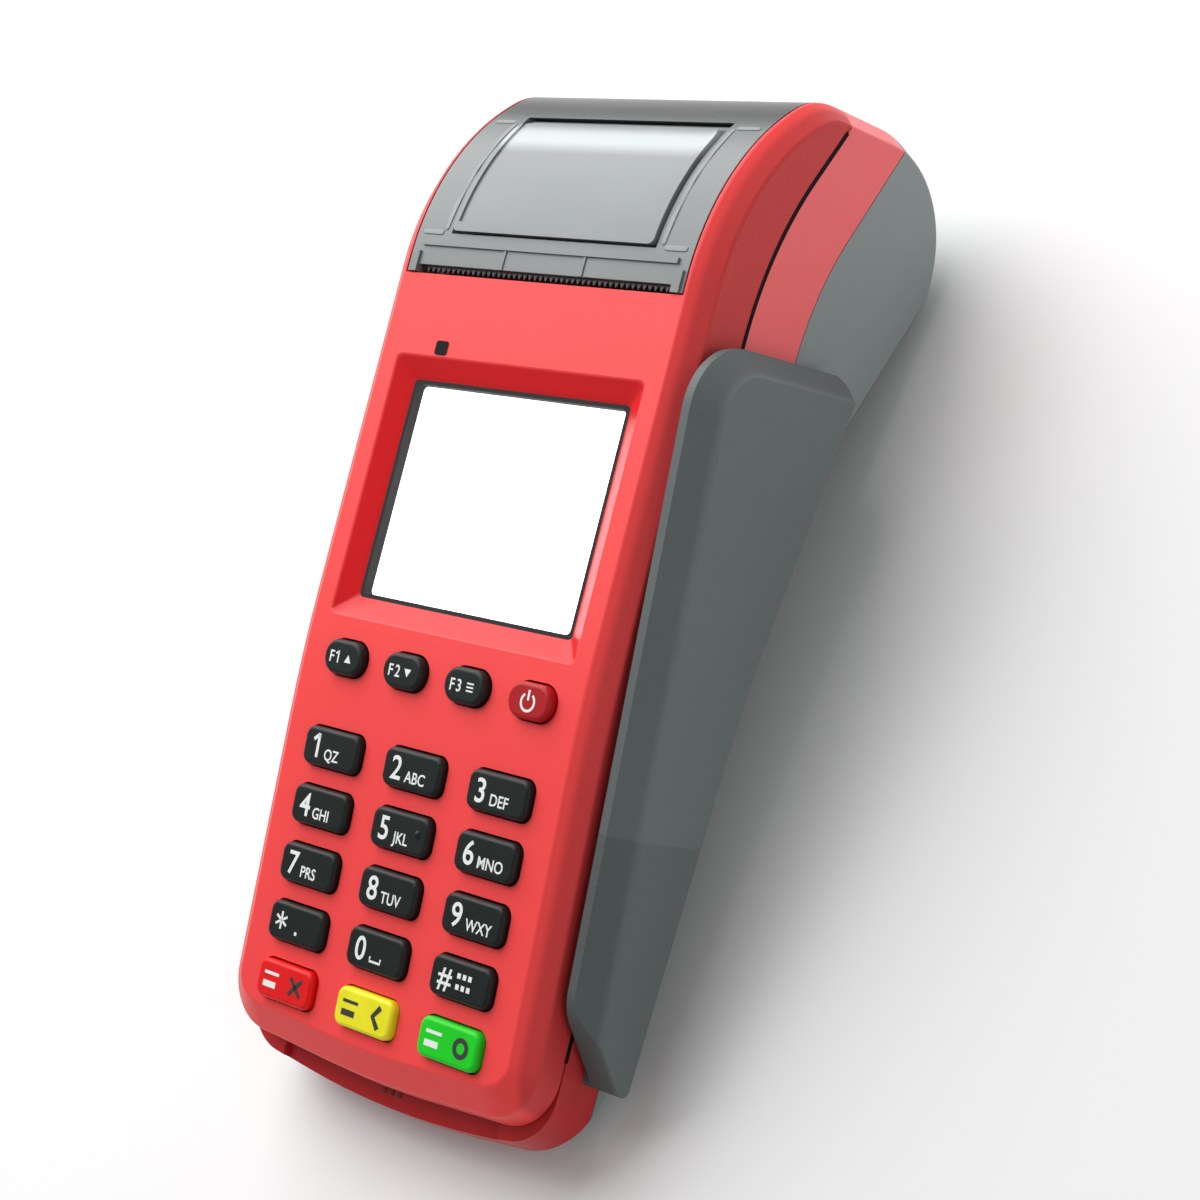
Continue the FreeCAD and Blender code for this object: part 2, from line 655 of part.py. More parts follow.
def head_springs():
    """Two coil springs, drawn as tubes, that press the head against the platen."""
    springs = []
    for x in (-10, 10):
        outer = Part.makeCylinder(1.6, 6.4, Vector(x, 98.6, -15.5), Vector(0, 1, 0))
        inner = Part.makeCylinder(1.1, 8, Vector(x, 98, -15.5), Vector(0, 1, 0))
        springs.append(outer.cut(inner))
    return Part.makeCompound(springs)


def stepper_motor():
    """Round stepper motor on the left side plate of the printer frame."""
    can = rod((-27.5, -15.5), *PINION, 7.0)
    shaft = rod((GEAR_X[0], -27.5), *PINION, 0.75)
    return fuse_all([can, shaft])


def paper_bin():
    """Trough that the paper roll drops into."""
    rim_z = -33.0
    tub = trough(ROLL_R + 1.4, rim_z, 30.9).cut(trough(ROLL_R + 0.5, rim_z + 1, 29.6))
    behind_roll = box((-40, 40), (ROLL[0], 160), (ROLL[1] - 0.5, 0))
    return tub.cut(behind_roll)


def trough(radius, rim_z, half_width):
    """Solid that fills a round-bottomed trough around the roll up to its rim."""
    front = ROLL[0] - radius
    back = ROLL[0] + radius
    floor = ROLL[1] - radius
    return side_prism([(front, rim_z, 0), (front, floor, radius - 0.01), (back, floor, radius - 0.01),
                       (back, rim_z, 0)], -half_width, half_width)


def paper_roll():
    """Roll of receipt paper."""
    return rod((-PAPER_HALF, PAPER_HALF), *ROLL, ROLL_R).cut(rod((-40, 40), *ROLL, 6.5))


def paper_core():
    """Card tube that the paper is wound on."""
    return rod((-PAPER_HALF, PAPER_HALF), *ROLL, 6.5).cut(rod((-40, 40), *ROLL, 5.0))


FLAP_HALF = 24.4
FLAP_SPAN = (117.6, 141.0)    # y of the lower and upper edge of the lift flap
FLAP_DEEP = (-0.3, 1.3)       # the flap lies between these depths under the crown; below 0 is proud of it
FLAP_RIM_PROUD = 0.7          # the flap's lip and side rims stand this far out of the crown
FLAP_LIP_DEEP = 2.2           # the thick lower lip reaches down to this depth
FLAP_HINGE = (141.3, -22.9)   # y and z of the flap's hinge
TROUGH_DEEP = 2.6             # depth of the trough that the flap lies in
TEAR_HALF = 31.0              # half the width of the row of teeth, a little wider than the paper
TEAR_TEETH = 48
TEAR_START_Y = 111.0          # front edge of the cover between its ears, over the teeth
RIB_Y = (114.6, 115.6)        # rib across the cover above the three cells


def crown_band(outer_inset, inner_inset, x, y_span):
    """Layer under the crown of the side outline between two depths, over a span of y."""
    layer = side_prism(SIDE_OUTLINE, x[0], x[1], outer_inset)
    layer = layer.cut(side_prism(SIDE_OUTLINE, x[0] - 1, x[1] + 1, inner_inset))
    return layer.common(box(grown(x, 2), y_span, (HINGE[1], 10)))


def paper_cover():
    """Smoked cover over the paper bay: crown, side skirts, platen ears and hinge knuckle."""
    whole_width = (-COVER_HALF, COVER_HALF)
    pieces = [
        crown_band(0.0, COVER_WALL, whole_width, (COVER_START_Y, 160)),
        crown_band(1.0, TROUGH_DEEP + 1.4, (-FLAP_HALF - 2, FLAP_HALF + 2), (FLAP_SPAN[0] - 2, 145)),
        crown_band(-0.5, 1.0, (-TEAR_HALF, TEAR_HALF), RIB_Y),
        rod(whole_width, *HINGE, KNUCKLE_R),
    ]
    for side in (-1, 1):
        x = sorted((side * 31.8, side * COVER_HALF))
        ear = sorted((side * TEAR_HALF, side * (COVER_HALF - 0.6)))
        divider = sorted((side * 9.4, side * 10.0))
        pieces.append(crown_band(0.0, 8.0, x, (COVER_START_Y, 160)))
        pieces.append(rod(x, *PLATEN, 4.4))
        pieces.append(side_prism([(109.7, -8, 0), (109.7, -14, 0), (116.5, -18, 0), (118, -9, 0)], *x))
        pieces.append(crown_band(-0.5, 1.0, ear, (COVER_START_Y, 113.5)))
        pieces.append(crown_band(-0.25, 1.0, divider, (TEAR_START_Y, RIB_Y[0] + 0.2)))
    cover = fuse_all(pieces)
    front_cut = box((-TEAR_HALF, TEAR_HALF), (100, TEAR_START_Y), (-10.2, 0))
    teeth_seat = in_display_plane(box((-TEAR_HALF - 0.1, TEAR_HALF + 0.1), tear_levels_y(), (-1.55, -0.95)))
    trough_cut = crown_band(-2.0, TROUGH_DEEP, (-FLAP_HALF - 0.5, FLAP_HALF + 0.5),
                            (FLAP_SPAN[0] - 0.5, FLAP_HINGE[0] + 1.2))
    cuts = [rod((-40, 40), *HINGE, HINGE_PIN_R + 0.05), rod((-40, 40), *PLATEN, 2.6),
            front_cut, teeth_seat, trough_cut]
    return cover.cut(Part.makeCompound(cuts))


def tear_levels_y():
    """Span of the tear bar behind its teeth, along the display slope."""
    start = (TEAR_START_Y - FACE_BEND_Y) / SLOPE_COS
    return (start - 0.1, start + 1.6)


def lift_flap():
    """Dished pane with side rims and a thick lower lip that is pulled up to release the cover."""
    x = (-FLAP_HALF, FLAP_HALF)
    corners = [(x[0], FLAP_SPAN[0], 1.2), (x[1], FLAP_SPAN[0], 1.2), (x[1], FLAP_SPAN[1], 2.2),
               (x[0], FLAP_SPAN[1], 2.2)]
    outline = Part.Face(rounded_wire(corners, lambda point: Vector(point.x, point.y, HINGE[1])))
    pieces = [crown_band(*FLAP_DEEP, x, FLAP_SPAN),
              crown_band(-FLAP_RIM_PROUD, FLAP_LIP_DEEP, x, (FLAP_SPAN[0], FLAP_SPAN[0] + 1.8)),
              crown_band(0.2, 2.0, x, (FLAP_SPAN[1] - 1.4, FLAP_SPAN[1]))]
    for side in (-1, 1):
        rim = sorted((side * (FLAP_HALF - 1.0), side * FLAP_HALF))
        pieces.append(crown_band(-FLAP_RIM_PROUD, 1.0, rim, FLAP_SPAN))
    pane = fuse_all(pieces).common(outline.extrude(Vector(0, 0, 50)))
    return fuse_all([pane, rod(x, *FLAP_HINGE, 0.7)])


def tear_bar():
    """Toothed strip under the front edge of the cover, for tearing off receipts."""
    pitch = 2 * TEAR_HALF / TEAR_TEETH
    root, back = tear_levels_y()
    points = [Vector(-TEAR_HALF, root, -1.5)]
    for index in range(TEAR_TEETH):
        points.append(Vector(-TEAR_HALF + (index + 0.5) * pitch, root - 1.1, -1.5))
        points.append(Vector(-TEAR_HALF + (index + 1) * pitch, root, -1.5))
    points += [Vector(TEAR_HALF, back, -1.5), Vector(-TEAR_HALF, back, -1.5)]
    strip = Part.Face(Part.makePolygon(points + points[:1])).extrude(Vector(0, 0, 0.5))
    return in_display_plane(strip)


def hinge_pin():
    """Steel pin of the cover hinge."""
    return rod((-BAY_HALF - 1.2, BAY_HALF + 1.2), *HINGE, HINGE_PIN_R)


# ---- feet and fasteners ---------------------------------------------------------------------------------
FEET = [(-25.0, -15.5, 0), (25.0, -15.5, 0), (-25.0, 122.7, -70), (25.0, 122.7, -70)]


def case_screws():
    """Screws that hold the rear housing to the front housing."""
    screws = []
    for side in (-1, 1):
        for y in SCREW_YS:
            seat = screw_seat(y)
            head = post(side * SCREW_X, y, (seat - 1.6, seat), 1.8)
            socket = post(side * SCREW_X, y, (seat - 1.7, seat - 0.8), 0.9)
            shank = post(side * SCREW_X, y, (seat, screw_split(y) + 7), 1.0)
            screws.append(head.cut(socket).fuse(shank).removeSplitter())
    return Part.makeCompound(screws)


def rubber_feet(rest_level):
    """Round feet, upright as the terminal lies, that end on the table."""
    feet = []
    for x, y, z in FEET:
        start = Vector(x, y, z)
        start = start + UPRIGHT * (rest_level - start.dot(UPRIGHT))
        foot = Part.makeCylinder(5.0, 12.0, start, UPRIGHT).cut(LOWER_FORM)
        lowest = min(foot.Solids, key=lambda solid: solid.CenterOfMass.dot(UPRIGHT))
        feet.append(lowest)
    return Part.makeCompound(feet)


# ---- assembly ---------------------------------------------------------------------------------------------
def build_nodes():
    """Every piece of the terminal in the face frame, by node name."""
    nodes = {
        "front_housing": front_housing().cut(swipe_head_hole()),
        "side_band": side_band().cut(swipe_head_hole()),
        "rear_housing": rear_housing(),
        "swipe_guide": swipe_guide(),
        "display_gasket": display_gasket(),
        "display_lens": display_lens(),
        "display_module": display_module(),
        "antenna_loop": antenna_loop(),
        "status_light": status_light_form(),
        "keypad_mat": keypad_mat(),
        "key_domes": key_domes(),
        "keypad_board": keypad_board(),
        "main_board": main_board(),
        "board_chips": board_chips(),
        "card_reader": card_reader(),
        "speaker": speaker(),
        "dc_jack": dc_jack(),
        "battery_pack": battery_pack(),
        "battery_door": battery_door(),
        "battery_contacts": battery_contacts(),
        "swipe_head": swipe_head(),
        "swipe_spring": swipe_spring(),
        "printer_frame": printer_frame(),
        "print_head": print_head(),
        "head_springs": head_springs(),
        "stepper_motor": stepper_motor(),
        "motor_pinion": motor_pinion(),
        "idler_gear": idler_gear(),
        "platen_gear": platen_gear(),
        "platen_shaft": platen_shaft(),
        "platen_roller": platen_roller(),
        "platen_bushes": platen_bushes(),
        "paper_bin": paper_bin(),
        "paper_roll": paper_roll(),
        "paper_core": paper_core(),
        "paper_cover": paper_cover(),
        "lift_flap": lift_flap(),
        "tear_bar": tear_bar(),
        "hinge_pin": hinge_pin(),
        "case_screws": case_screws(),
    }
    for name, x, y, size in key_places():
        make = tactile_key if name == "5" else key
        nodes["key_" + name] = make(x, y, size)
    return nodes


def to_rest_frame(nodes):
    """Turn every node by the tilt and move the origin under the middle of the whole part."""
    whole = FreeCAD.BoundBox()
    for shape in nodes.values():
        shape.rotate(Vector(0, 0, 0), Vector(1, 0, 0), TILT)
        whole.add(shape.BoundBox)
    shift = Vector(-whole.Center.x, -whole.Center.y, -whole.ZMin)
    for shape in nodes.values():
        shape.translate(shift)
    return shift


def main():
    nodes = build_nodes()
    turned_form = LOWER_FORM.copy()
    turned_form.rotate(Vector(0, 0, 0), Vector(1, 0, 0), TILT)
    nodes["rubber_feet"] = rubber_feet(turned_form.BoundBox.ZMin - FOOT_PROUD)
    shift = to_rest_frame(nodes)
    print("shift from the turned face frame:", [round(value, 3) for value in shift])
    os.makedirs("parts", exist_ok=True)
    for name, shape in nodes.items():
        shape.exportStep(f"parts/{name}.step")
    print(len(nodes), "nodes")


main()
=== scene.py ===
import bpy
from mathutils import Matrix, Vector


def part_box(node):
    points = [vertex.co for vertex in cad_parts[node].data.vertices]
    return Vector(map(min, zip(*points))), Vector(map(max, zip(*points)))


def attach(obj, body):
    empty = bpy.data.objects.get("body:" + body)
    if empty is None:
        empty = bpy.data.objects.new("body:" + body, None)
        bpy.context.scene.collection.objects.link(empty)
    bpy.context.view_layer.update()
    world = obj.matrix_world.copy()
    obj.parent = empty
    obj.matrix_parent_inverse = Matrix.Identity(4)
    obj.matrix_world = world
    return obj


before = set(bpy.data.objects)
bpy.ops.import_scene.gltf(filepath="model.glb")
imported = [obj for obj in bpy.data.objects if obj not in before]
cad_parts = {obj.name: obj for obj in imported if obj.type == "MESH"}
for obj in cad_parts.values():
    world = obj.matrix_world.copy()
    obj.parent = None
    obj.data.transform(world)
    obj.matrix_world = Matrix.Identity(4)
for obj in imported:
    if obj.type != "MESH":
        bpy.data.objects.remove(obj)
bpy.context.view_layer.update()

import math

import bpy
import numpy as np
from mathutils import Matrix

bl_info = {
    "name": "Payment terminal",
    "version": (1, 0, 0),
    "blender": (4, 5, 0),
    "location": "View3D > Sidebar > Terminal",
    "description": "Finishes, key legends, small fittings and stage for a card payment terminal",
    "category": "Object",
}

# ---- where things are -------------------------------------------------------------------------------
# Lengths in these functions are millimetres in the face frame: x to the right, y from the keypad
# to the printer, z out of the face, with the origin on the key tops in the middle of the digit keys.
MM = 0.001
TILT = math.radians(17.3)
FACE_SLOPE = math.radians(4.5)
FACE_BEND = (38.0, -1.5)
FACE_ORIGIN = np.array((-0.0040, -0.06307, 0.032814))
FACE_AXES = np.array(((1.0, 0.0, 0.0),
                      (0.0, math.cos(TILT), math.sin(TILT)),
                      (0.0, -math.sin(TILT), math.cos(TILT))))
CROWN_CENTRE = (107.9, -55.14)
CROWN_RADIUS = 48.0
UNDERSIDE_FRONT = (-28.0, -24.9)
UNDERSIDE_REAR = (72.4, -42.1)
UNDERSIDE_SLOPE = math.atan2(UNDERSIDE_FRONT[1] - UNDERSIDE_REAR[1], UNDERSIDE_REAR[0] - UNDERSIDE_FRONT[0])
UNDERSIDE_START = UNDERSIDE_FRONT[1] + UNDERSIDE_FRONT[0] * math.tan(UNDERSIDE_SLOPE)
SEAM_CORNERS = ((-60.0, -7.85), (120.0, -20.6), (170.0, -51.5))
SEAM_RADIUS = 70.0
SEAM_ENDS = (-20.0, 145.0)
# The seam strips are near-black: painted shadow standing in for the shade in the gap between the front
# housing and the band.
SEAM_SHADOW_WIDTH = 0.9
SEAM_SHADOW_INNER = 38.15
SEAM_SHADOW_OUTER = {"left": 38.49, "right": 38.56}
LIP_MARK = (0.0, -34.7, -11.15)
LIP_MARK_PITCH = 1.9
LIP_MARK_HALF = (0.5, 1.3, 0.3)
RIDGE_START = 55.0
RIDGE_PITCH = 1.6
RIDGE_HALF = (9.0, 0.45, 0.42)
TRIM_BAR_X = 29.4
TRIM_BAR_ALONG = (5.6, 33.0)
TRIM_BAR_HALF = (2.6, 0.5, 0.2)
TRIM_RAIL_X = 26.3
TRIM_RAIL_ALONG = 19.4
TRIM_RAIL_HALF = (0.55, 13.4, 0.2)

# Where a shade starts and stops changing, in metres: painted shade, apart from the tone on the keypad side
# of the guide's seam and the painted sheen on the flap. On the housing: sideways from the middle at the
# face's edge, then down from the display plane, sideways and along that plane at the recess. On the band
# and the guide: along the face, and the guide's x where its bevel ends. On the flap and the cover: y.
FACE_EDGE = (0.0350, 0.0366)
RECESS_DEPTH = (0.00005, 0.0003)
RECESS_SIDE = (0.0315, 0.0318)
RECESS_START = (0.0048, 0.0052)
RECESS_END = (0.0586, 0.059)
LIP_FADE = (-0.034, 0.012)
GUIDE_BEVEL = (0.0412, 0.0424)
GUIDE_SEAM = (0.0186, 0.0192)
FLAP_SHEEN = (0.0690, 0.0745)
COVER_DARK = (0.0765, 0.0830)

# Legends: how far they stand over the key tops and half their thickness in millimetres; the height
# asked as a share of the font's size; and the growth of a letter's outline as a share of that height.
LEGEND_TOP = 0.05
LETTER_HALF = 0.035
HEIGHT_SHARE = 0.73
LETTER_GROWTH = 0.055 / 3.7

KEY_PITCH = (21.0, 10.66)
SOFT_KEY_PITCH = 15.5
SOFT_KEY_Y = 37.8
SOFT_KEY_SHIFT = 0.6
DIGIT_KEYS = ("1", "2", "3", "4", "5", "6", "7", "8", "9", "star", "0", "hash", "cancel", "clear", "enter")
SOFT_KEYS = ("f1", "f2", "f3", "power")


def from_face(points):
    """Face frame to row frame: turn by the tilt about x, scale to metres and shift by the origin."""
    return np.asarray(points, float) * MM @ FACE_AXES + FACE_ORIGIN


def from_slope(points, slope, start_y, start_z):
    """Plane that falls away at a slope from (start_y, start_z): x, distance along it, height over it."""
    x, along, height = np.asarray(points, float).T
    y = along * math.cos(slope) + height * math.sin(slope) + start_y
    z = height * math.cos(slope) - along * math.sin(slope) + start_z
    return from_face(np.stack((x, y, z), axis=1))


def from_crown(points):
    """Round crown over the printer: x, length along the arc from its front end, height over it. The
    angle is the face's slope plus length over radius, turned about the crown's centre."""
    x, along, height = np.asarray(points, float).T
    angle = FACE_SLOPE + along / CROWN_RADIUS
    reach = CROWN_RADIUS + height
    y = CROWN_CENTRE[0] + reach * np.sin(angle)
    z = CROWN_CENTRE[1] + reach * np.cos(angle)
    return from_face(np.stack((x, y, z), axis=1))


def key_centres():
    """x and y of the middle of every key."""
    centres = {}
    for index, name in enumerate(DIGIT_KEYS):
        row, column = divmod(index, 3)
        centres[name] = ((column - 1) * KEY_PITCH[0], (2 - row) * KEY_PITCH[1])
    for index, name in enumerate(SOFT_KEYS):
        centres[name] = ((index - 1.5) * SOFT_KEY_PITCH + SOFT_KEY_SHIFT, SOFT_KEY_Y)
    return centres


# ---- surfaces ---------------------------------------------------------------------------------------
def grid_quads(rows, columns, close_rows=False):
    """Quads between neighbouring points of a grid. Every row is a ring, and the rows too close if asked."""
    i = np.arange(rows if close_rows else rows - 1)[:, None]
    j = np.arange(columns)[None, :]
    right = (j + 1) % columns
    down = (i + 1) % rows
    return np.stack((i * columns + j, i * columns + right, down * columns + right, down * columns + j),
                    axis=-1).reshape(-1, 4)


def outward(points, quads):
    """Turn every face round if the signed volume, a sum of corner products, is negative."""
    a, b, c = points[quads[:, 0]], points[quads[:, 1]], points[quads[:, 2]]
    d = points[quads[:, -1]]
    volume = (a * np.cross(b, c)).sum() + (a * np.cross(c, d)).sum()
    return quads if volume > 0 else quads[:, ::-1]


def ribbon(path, width, low=-0.02, high=LEGEND_TOP, closed=False):
    """Flat bar along a path. Each station is a rectangle, half the width to each side of the path
    along its normal and from low to high; the rectangles are joined in order. A width may be given
    for each station."""
    path = np.asarray(path, float)
    if closed:
        tangent = np.roll(path, -1, axis=0) - np.roll(path, 1, axis=0)
    else:
        tangent = np.gradient(path, axis=0)
    tangent /= np.linalg.norm(tangent, axis=1, keepdims=True)
    normal = np.stack((-tangent[:, 1], tangent[:, 0]), axis=1)
    half = np.broadcast_to(np.asarray(width, float) / 2, len(path))[:, None]
    left, right = path + normal * half, path - normal * half
    station = np.stack((left, right, right, left), axis=1)
    level = np.broadcast_to(np.array((low, low, high, high)), station.shape[:2])[..., None]
    points = np.concatenate((station, level), axis=2).reshape(-1, 3)
    quads = grid_quads(len(path), 4, close_rows=closed)
    if not closed:
        last = (len(path) - 1) * 4
        quads = np.vstack((quads, [[3, 2, 1, 0]], [[last, last + 1, last + 2, last + 3]]))
    return points, outward(points, quads)


def arc(radius, start, end, count, centre):
    """Points on a circle between two angles in degrees: centre plus radius times (cos, sin)."""
    angle = np.radians(np.linspace(start, end, count))
    return np.stack((centre[0] + radius * np.cos(angle), centre[1] + radius * np.sin(angle)), axis=1)


def seam_path():
    """Line between the front housing and the band, as y and z: a straight run, an arc that touches both
    runs, and a second straight run. The arc's centre lies on the line that halves the corner, at the
    radius over the sine of half the corner's angle."""
    first, corner, last = np.array(SEAM_CORNERS)
    back = (first - corner) / np.linalg.norm(first - corner)
    ahead = (last - corner) / np.linalg.norm(last - corner)
    half_angle = math.acos(back @ ahead) / 2
    reach = SEAM_RADIUS / math.tan(half_angle)
    inward = (back + ahead) / np.linalg.norm(back + ahead)
    middle = corner + inward * SEAM_RADIUS / math.sin(half_angle)
    start, end = corner + back * reach - middle, corner + ahead * reach - middle
    bow = arc(SEAM_RADIUS, math.degrees(math.atan2(start[1], start[0])),
              math.degrees(math.atan2(end[1], end[0])), 40, middle)
    front = corner + back * ((corner[0] - SEAM_ENDS[0]) / -back[0])
    rear = corner + ahead * ((SEAM_ENDS[1] - corner[0]) / ahead[0])
    return np.vstack((np.linspace(front, bow[0], 24)[:-1], bow, np.linspace(bow[-1], rear, 12)[1:]))


def pillow(centre, half_sizes, squareness=0.35, count=32):
    """Closed superellipsoid. With s(a) = sign(a) |a|^squareness of a cosine or sine, a point is
    half_sizes times (s(cos v) s(cos u), s(cos v) s(sin u), s(sin v)), u round and v pole to pole."""
    def power(value):
        return np.sign(value) * np.abs(value) ** squareness
    v = np.linspace(-np.pi / 2, np.pi / 2, count // 2 + 1)[1:-1, None]
    u = np.linspace(0, 2 * np.pi, count, endpoint=False)[None, :]
    body = np.stack((power(np.cos(v)) * power(np.cos(u)), power(np.cos(v)) * power(np.sin(u)),
                     np.broadcast_to(power(np.sin(v)), (v.size, u.size))), axis=-1).reshape(-1, 3)
    points = np.vstack((body, [(0, 0, -1), (0, 0, 1)])) * half_sizes + centre
    quads = grid_quads(v.size, count)
    ring = np.arange(count)
    after = (ring + 1) % count
    south = np.stack((after, ring, np.full(count, len(body)), np.full(count, len(body))), axis=1)
    top = (v.size - 1) * count
    north = np.stack((top + ring, top + after, np.full(count, len(body) + 1),
                      np.full(count, len(body) + 1)), axis=1)
    return points, np.vstack((quads, south, north))


def lettering(text, height, left, base, squeeze):
    """Generic letters as a thin plate: the built-in font with its outline grown, squeezed in width, left
    edge and base line set. A digit comes out 1 or 2 % lower than the height asked, a capital up to 4 %."""
    curve = bpy.data.curves.new("lettering", "FONT")
    curve.body = text
    curve.size = height / HEIGHT_SHARE
    curve.extrude = LETTER_HALF
    curve.offset = LETTER_GROWTH * height
    curve.resolution_u = 4
    holder = bpy.data.objects.new("lettering", curve)
    bpy.context.scene.collection.objects.link(holder)
    bpy.context.view_layer.update()
    mesh = bpy.data.meshes.new_from_object(holder.evaluated_get(bpy.context.evaluated_depsgraph_get()))
    mesh.calc_loop_triangles()
    points = np.empty(len(mesh.vertices) * 3)
    mesh.vertices.foreach_get("co", points)
    points = points.reshape(-1, 3)
    triangles = np.empty(len(mesh.loop_triangles) * 3, dtype=np.int32)
    mesh.loop_triangles.foreach_get("vertices", triangles)
    bpy.data.objects.remove(holder)
    bpy.data.curves.remove(curve)
    bpy.data.meshes.remove(mesh)
    edge = left - points[:, 0].min() * squeeze
    points = points * (squeeze, 1, 1) + (edge, base, LEGEND_TOP - LETTER_HALF)
    return points, triangles.reshape(-1, 3)


def merged(shapes):
    """Several (points, faces) pairs as one, each face list shifted past the points before it."""
    points, faces, start = [], [], 0
    for part_points, part_faces in shapes:
        points.append(part_points)
        faces += (part_faces + start).tolist()
        start += len(part_points)
    return np.vstack(points), faces


def make_piece(name, points, faces, body, finish, smooth=False):
    """Mesh object at the origin from points in metres and faces, with its finish, riding a body."""
    mesh = bpy.data.meshes.new(name)
    tidy = [tuple(dict.fromkeys(face)) for face in faces]
    mesh.from_pydata(np.asarray(points).tolist(), [], tidy)
    mesh.update()
    mesh.polygons.foreach_set("use_smooth", [smooth] * len(mesh.polygons))
    mesh.materials.append(finish)
    piece = bpy.data.objects.new(name, mesh)
    bpy.context.scene.collection.objects.link(piece)
    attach(piece, body)
    return piece


def dress(node, finish):
    """Give a carried-over node its finish through its object's material slots."""
    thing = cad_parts[node]
    if not thing.material_slots:
        thing.data.materials.append(finish)
    for place in thing.material_slots:
        place.link = "OBJECT"
        place.material = finish


# ---- shader arithmetic ------------------------------------------------------------------------------
class Wire:
    """A socket of a shader tree. Arithmetic on it adds Math nodes to the tree."""

    def __init__(self, finish, socket):
        self.finish = finish
        self.socket = socket

    def __add__(self, other):
        return self.finish.maths("ADD", self, other)

    def __radd__(self, other):
        return self.finish.maths("ADD", other, self)

    def __sub__(self, other):
        return self.finish.maths("SUBTRACT", self, other)

    def __rsub__(self, other):
        return self.finish.maths("SUBTRACT", other, self)

    def __mul__(self, other):
        return self.finish.maths("MULTIPLY", self, other)

    def __rmul__(self, other):
        return self.finish.maths("MULTIPLY", other, self)

    def __pow__(self, other):
        return self.finish.maths("POWER", self, other)


class Finish:
    """A procedural material on Object coordinates with one Principled shader."""

    def __init__(self, name, **constants):
        self.material = bpy.data.materials.new(name)
        self.material.use_nodes = True
        self.tree = self.material.node_tree
        self.tree.nodes.clear()
        self.shader = self.tree.nodes.new("ShaderNodeBsdfPrincipled")
        output = self.tree.nodes.new("ShaderNodeOutputMaterial")
        self.tree.links.new(self.shader.outputs[0], output.inputs["Surface"])
        for socket, value in constants.items():
            self.shader.inputs[socket.replace("_", " ")].default_value = value
        self.place = self.node("ShaderNodeTexCoord", outlet="Object")

    def node(self, kind, settings=None, outlet=0, **inputs):
        """Add a node: its settings first, then the values or wires of its sockets, each given by its name
        or, as i0, by its number."""
        made = self.tree.nodes.new(kind)
        for setting, value in (settings or {}).items():
            setattr(made, setting, value)
        for name, value in inputs.items():
            key = int(name[1:]) if name[0] == "i" and name[1:].isdigit() else name.replace("_", " ")
            self.feed(made.inputs[key], value)
        return Wire(self, made.outputs[outlet])

    def feed(self, socket, value):
        """Link a wire to a socket or set its value."""
        if isinstance(value, Wire):
            self.tree.links.new(value.socket, socket)
        else:
            socket.default_value = value

    def maths(self, operation, first, second):
        return self.node("ShaderNodeMath", {"operation": operation}, i0=first, i1=second)

    def noise(self, scale, detail=2.0, stretch=None):
        """Noise from 0 to 1 at so many cells a metre, stretched along an axis where wanted."""
        place = self.place
        if stretch:
            place = self.node("ShaderNodeMapping", Vector=place, Scale=stretch)
        return self.node("ShaderNodeTexNoise", Vector=place, Scale=scale, Detail=detail)

    def axes(self):
        """x, y and z wires of the object's place, in metres."""
        split = self.node("ShaderNodeSeparateXYZ", Vector=self.place).socket.node
        return [Wire(self, outlet) for outlet in split.outputs]

    def along_face(self):
        """Distance along the face from its origin towards the printer, in metres."""
        x, y, z = self.axes()
        return (y - FACE_ORIGIN[1]) * math.cos(TILT) + (z - FACE_ORIGIN[2]) * math.sin(TILT)

    def step(self, value, low, high):
        """0 below low and 1 above high, with a smooth change between."""
        return self.node("ShaderNodeMapRange", {"interpolation_type": "SMOOTHSTEP"}, Value=value,
                         From_Min=low, From_Max=high)

    def mix(self, mask, first, second):
        """Colour between two colours by a mask."""
        return self.node("ShaderNodeMix", {"data_type": "RGBA"}, outlet=2, i0=mask, i6=first, i7=second)

    def colour(self, value):
        self.feed(self.shader.inputs["Base Color"], value)

    def roughness(self, value):
        self.feed(self.shader.inputs["Roughness"], value)

    def bump(self, height, strength, distance):
        """Bump of a height mask, distance in metres, into the shader's normal."""
        self.feed(self.shader.inputs["Normal"], self.node(
            "ShaderNodeBump", Height=height, Strength=strength, Distance=distance))


def rgba(colour, factor=1.0):
    """Colour with full alpha, made lighter or darker by a factor."""
    return tuple(min(1.0, channel * factor) for channel in colour[:3]) + (1.0,)


def moulded(name, colour, roughness, grain, depth, spread=0.08, **constants):
    """Moulded plastic: spark-eroded grain, slow change of shade, and handling marks in the gloss."""
    finish = Finish(name, **constants)
    slow = finish.noise(38.0, 3.0)
    fine = finish.noise(grain, 2.0)
    finish.colour(finish.mix(slow * 0.7 + fine * 0.3, rgba(colour, 1 - spread), rgba(colour, 1 + spread)))
    finish.roughness(roughness - 0.06 + slow * 0.08 + fine * 0.05)
    finish.bump(fine, 0.45, depth)
    return finish.material


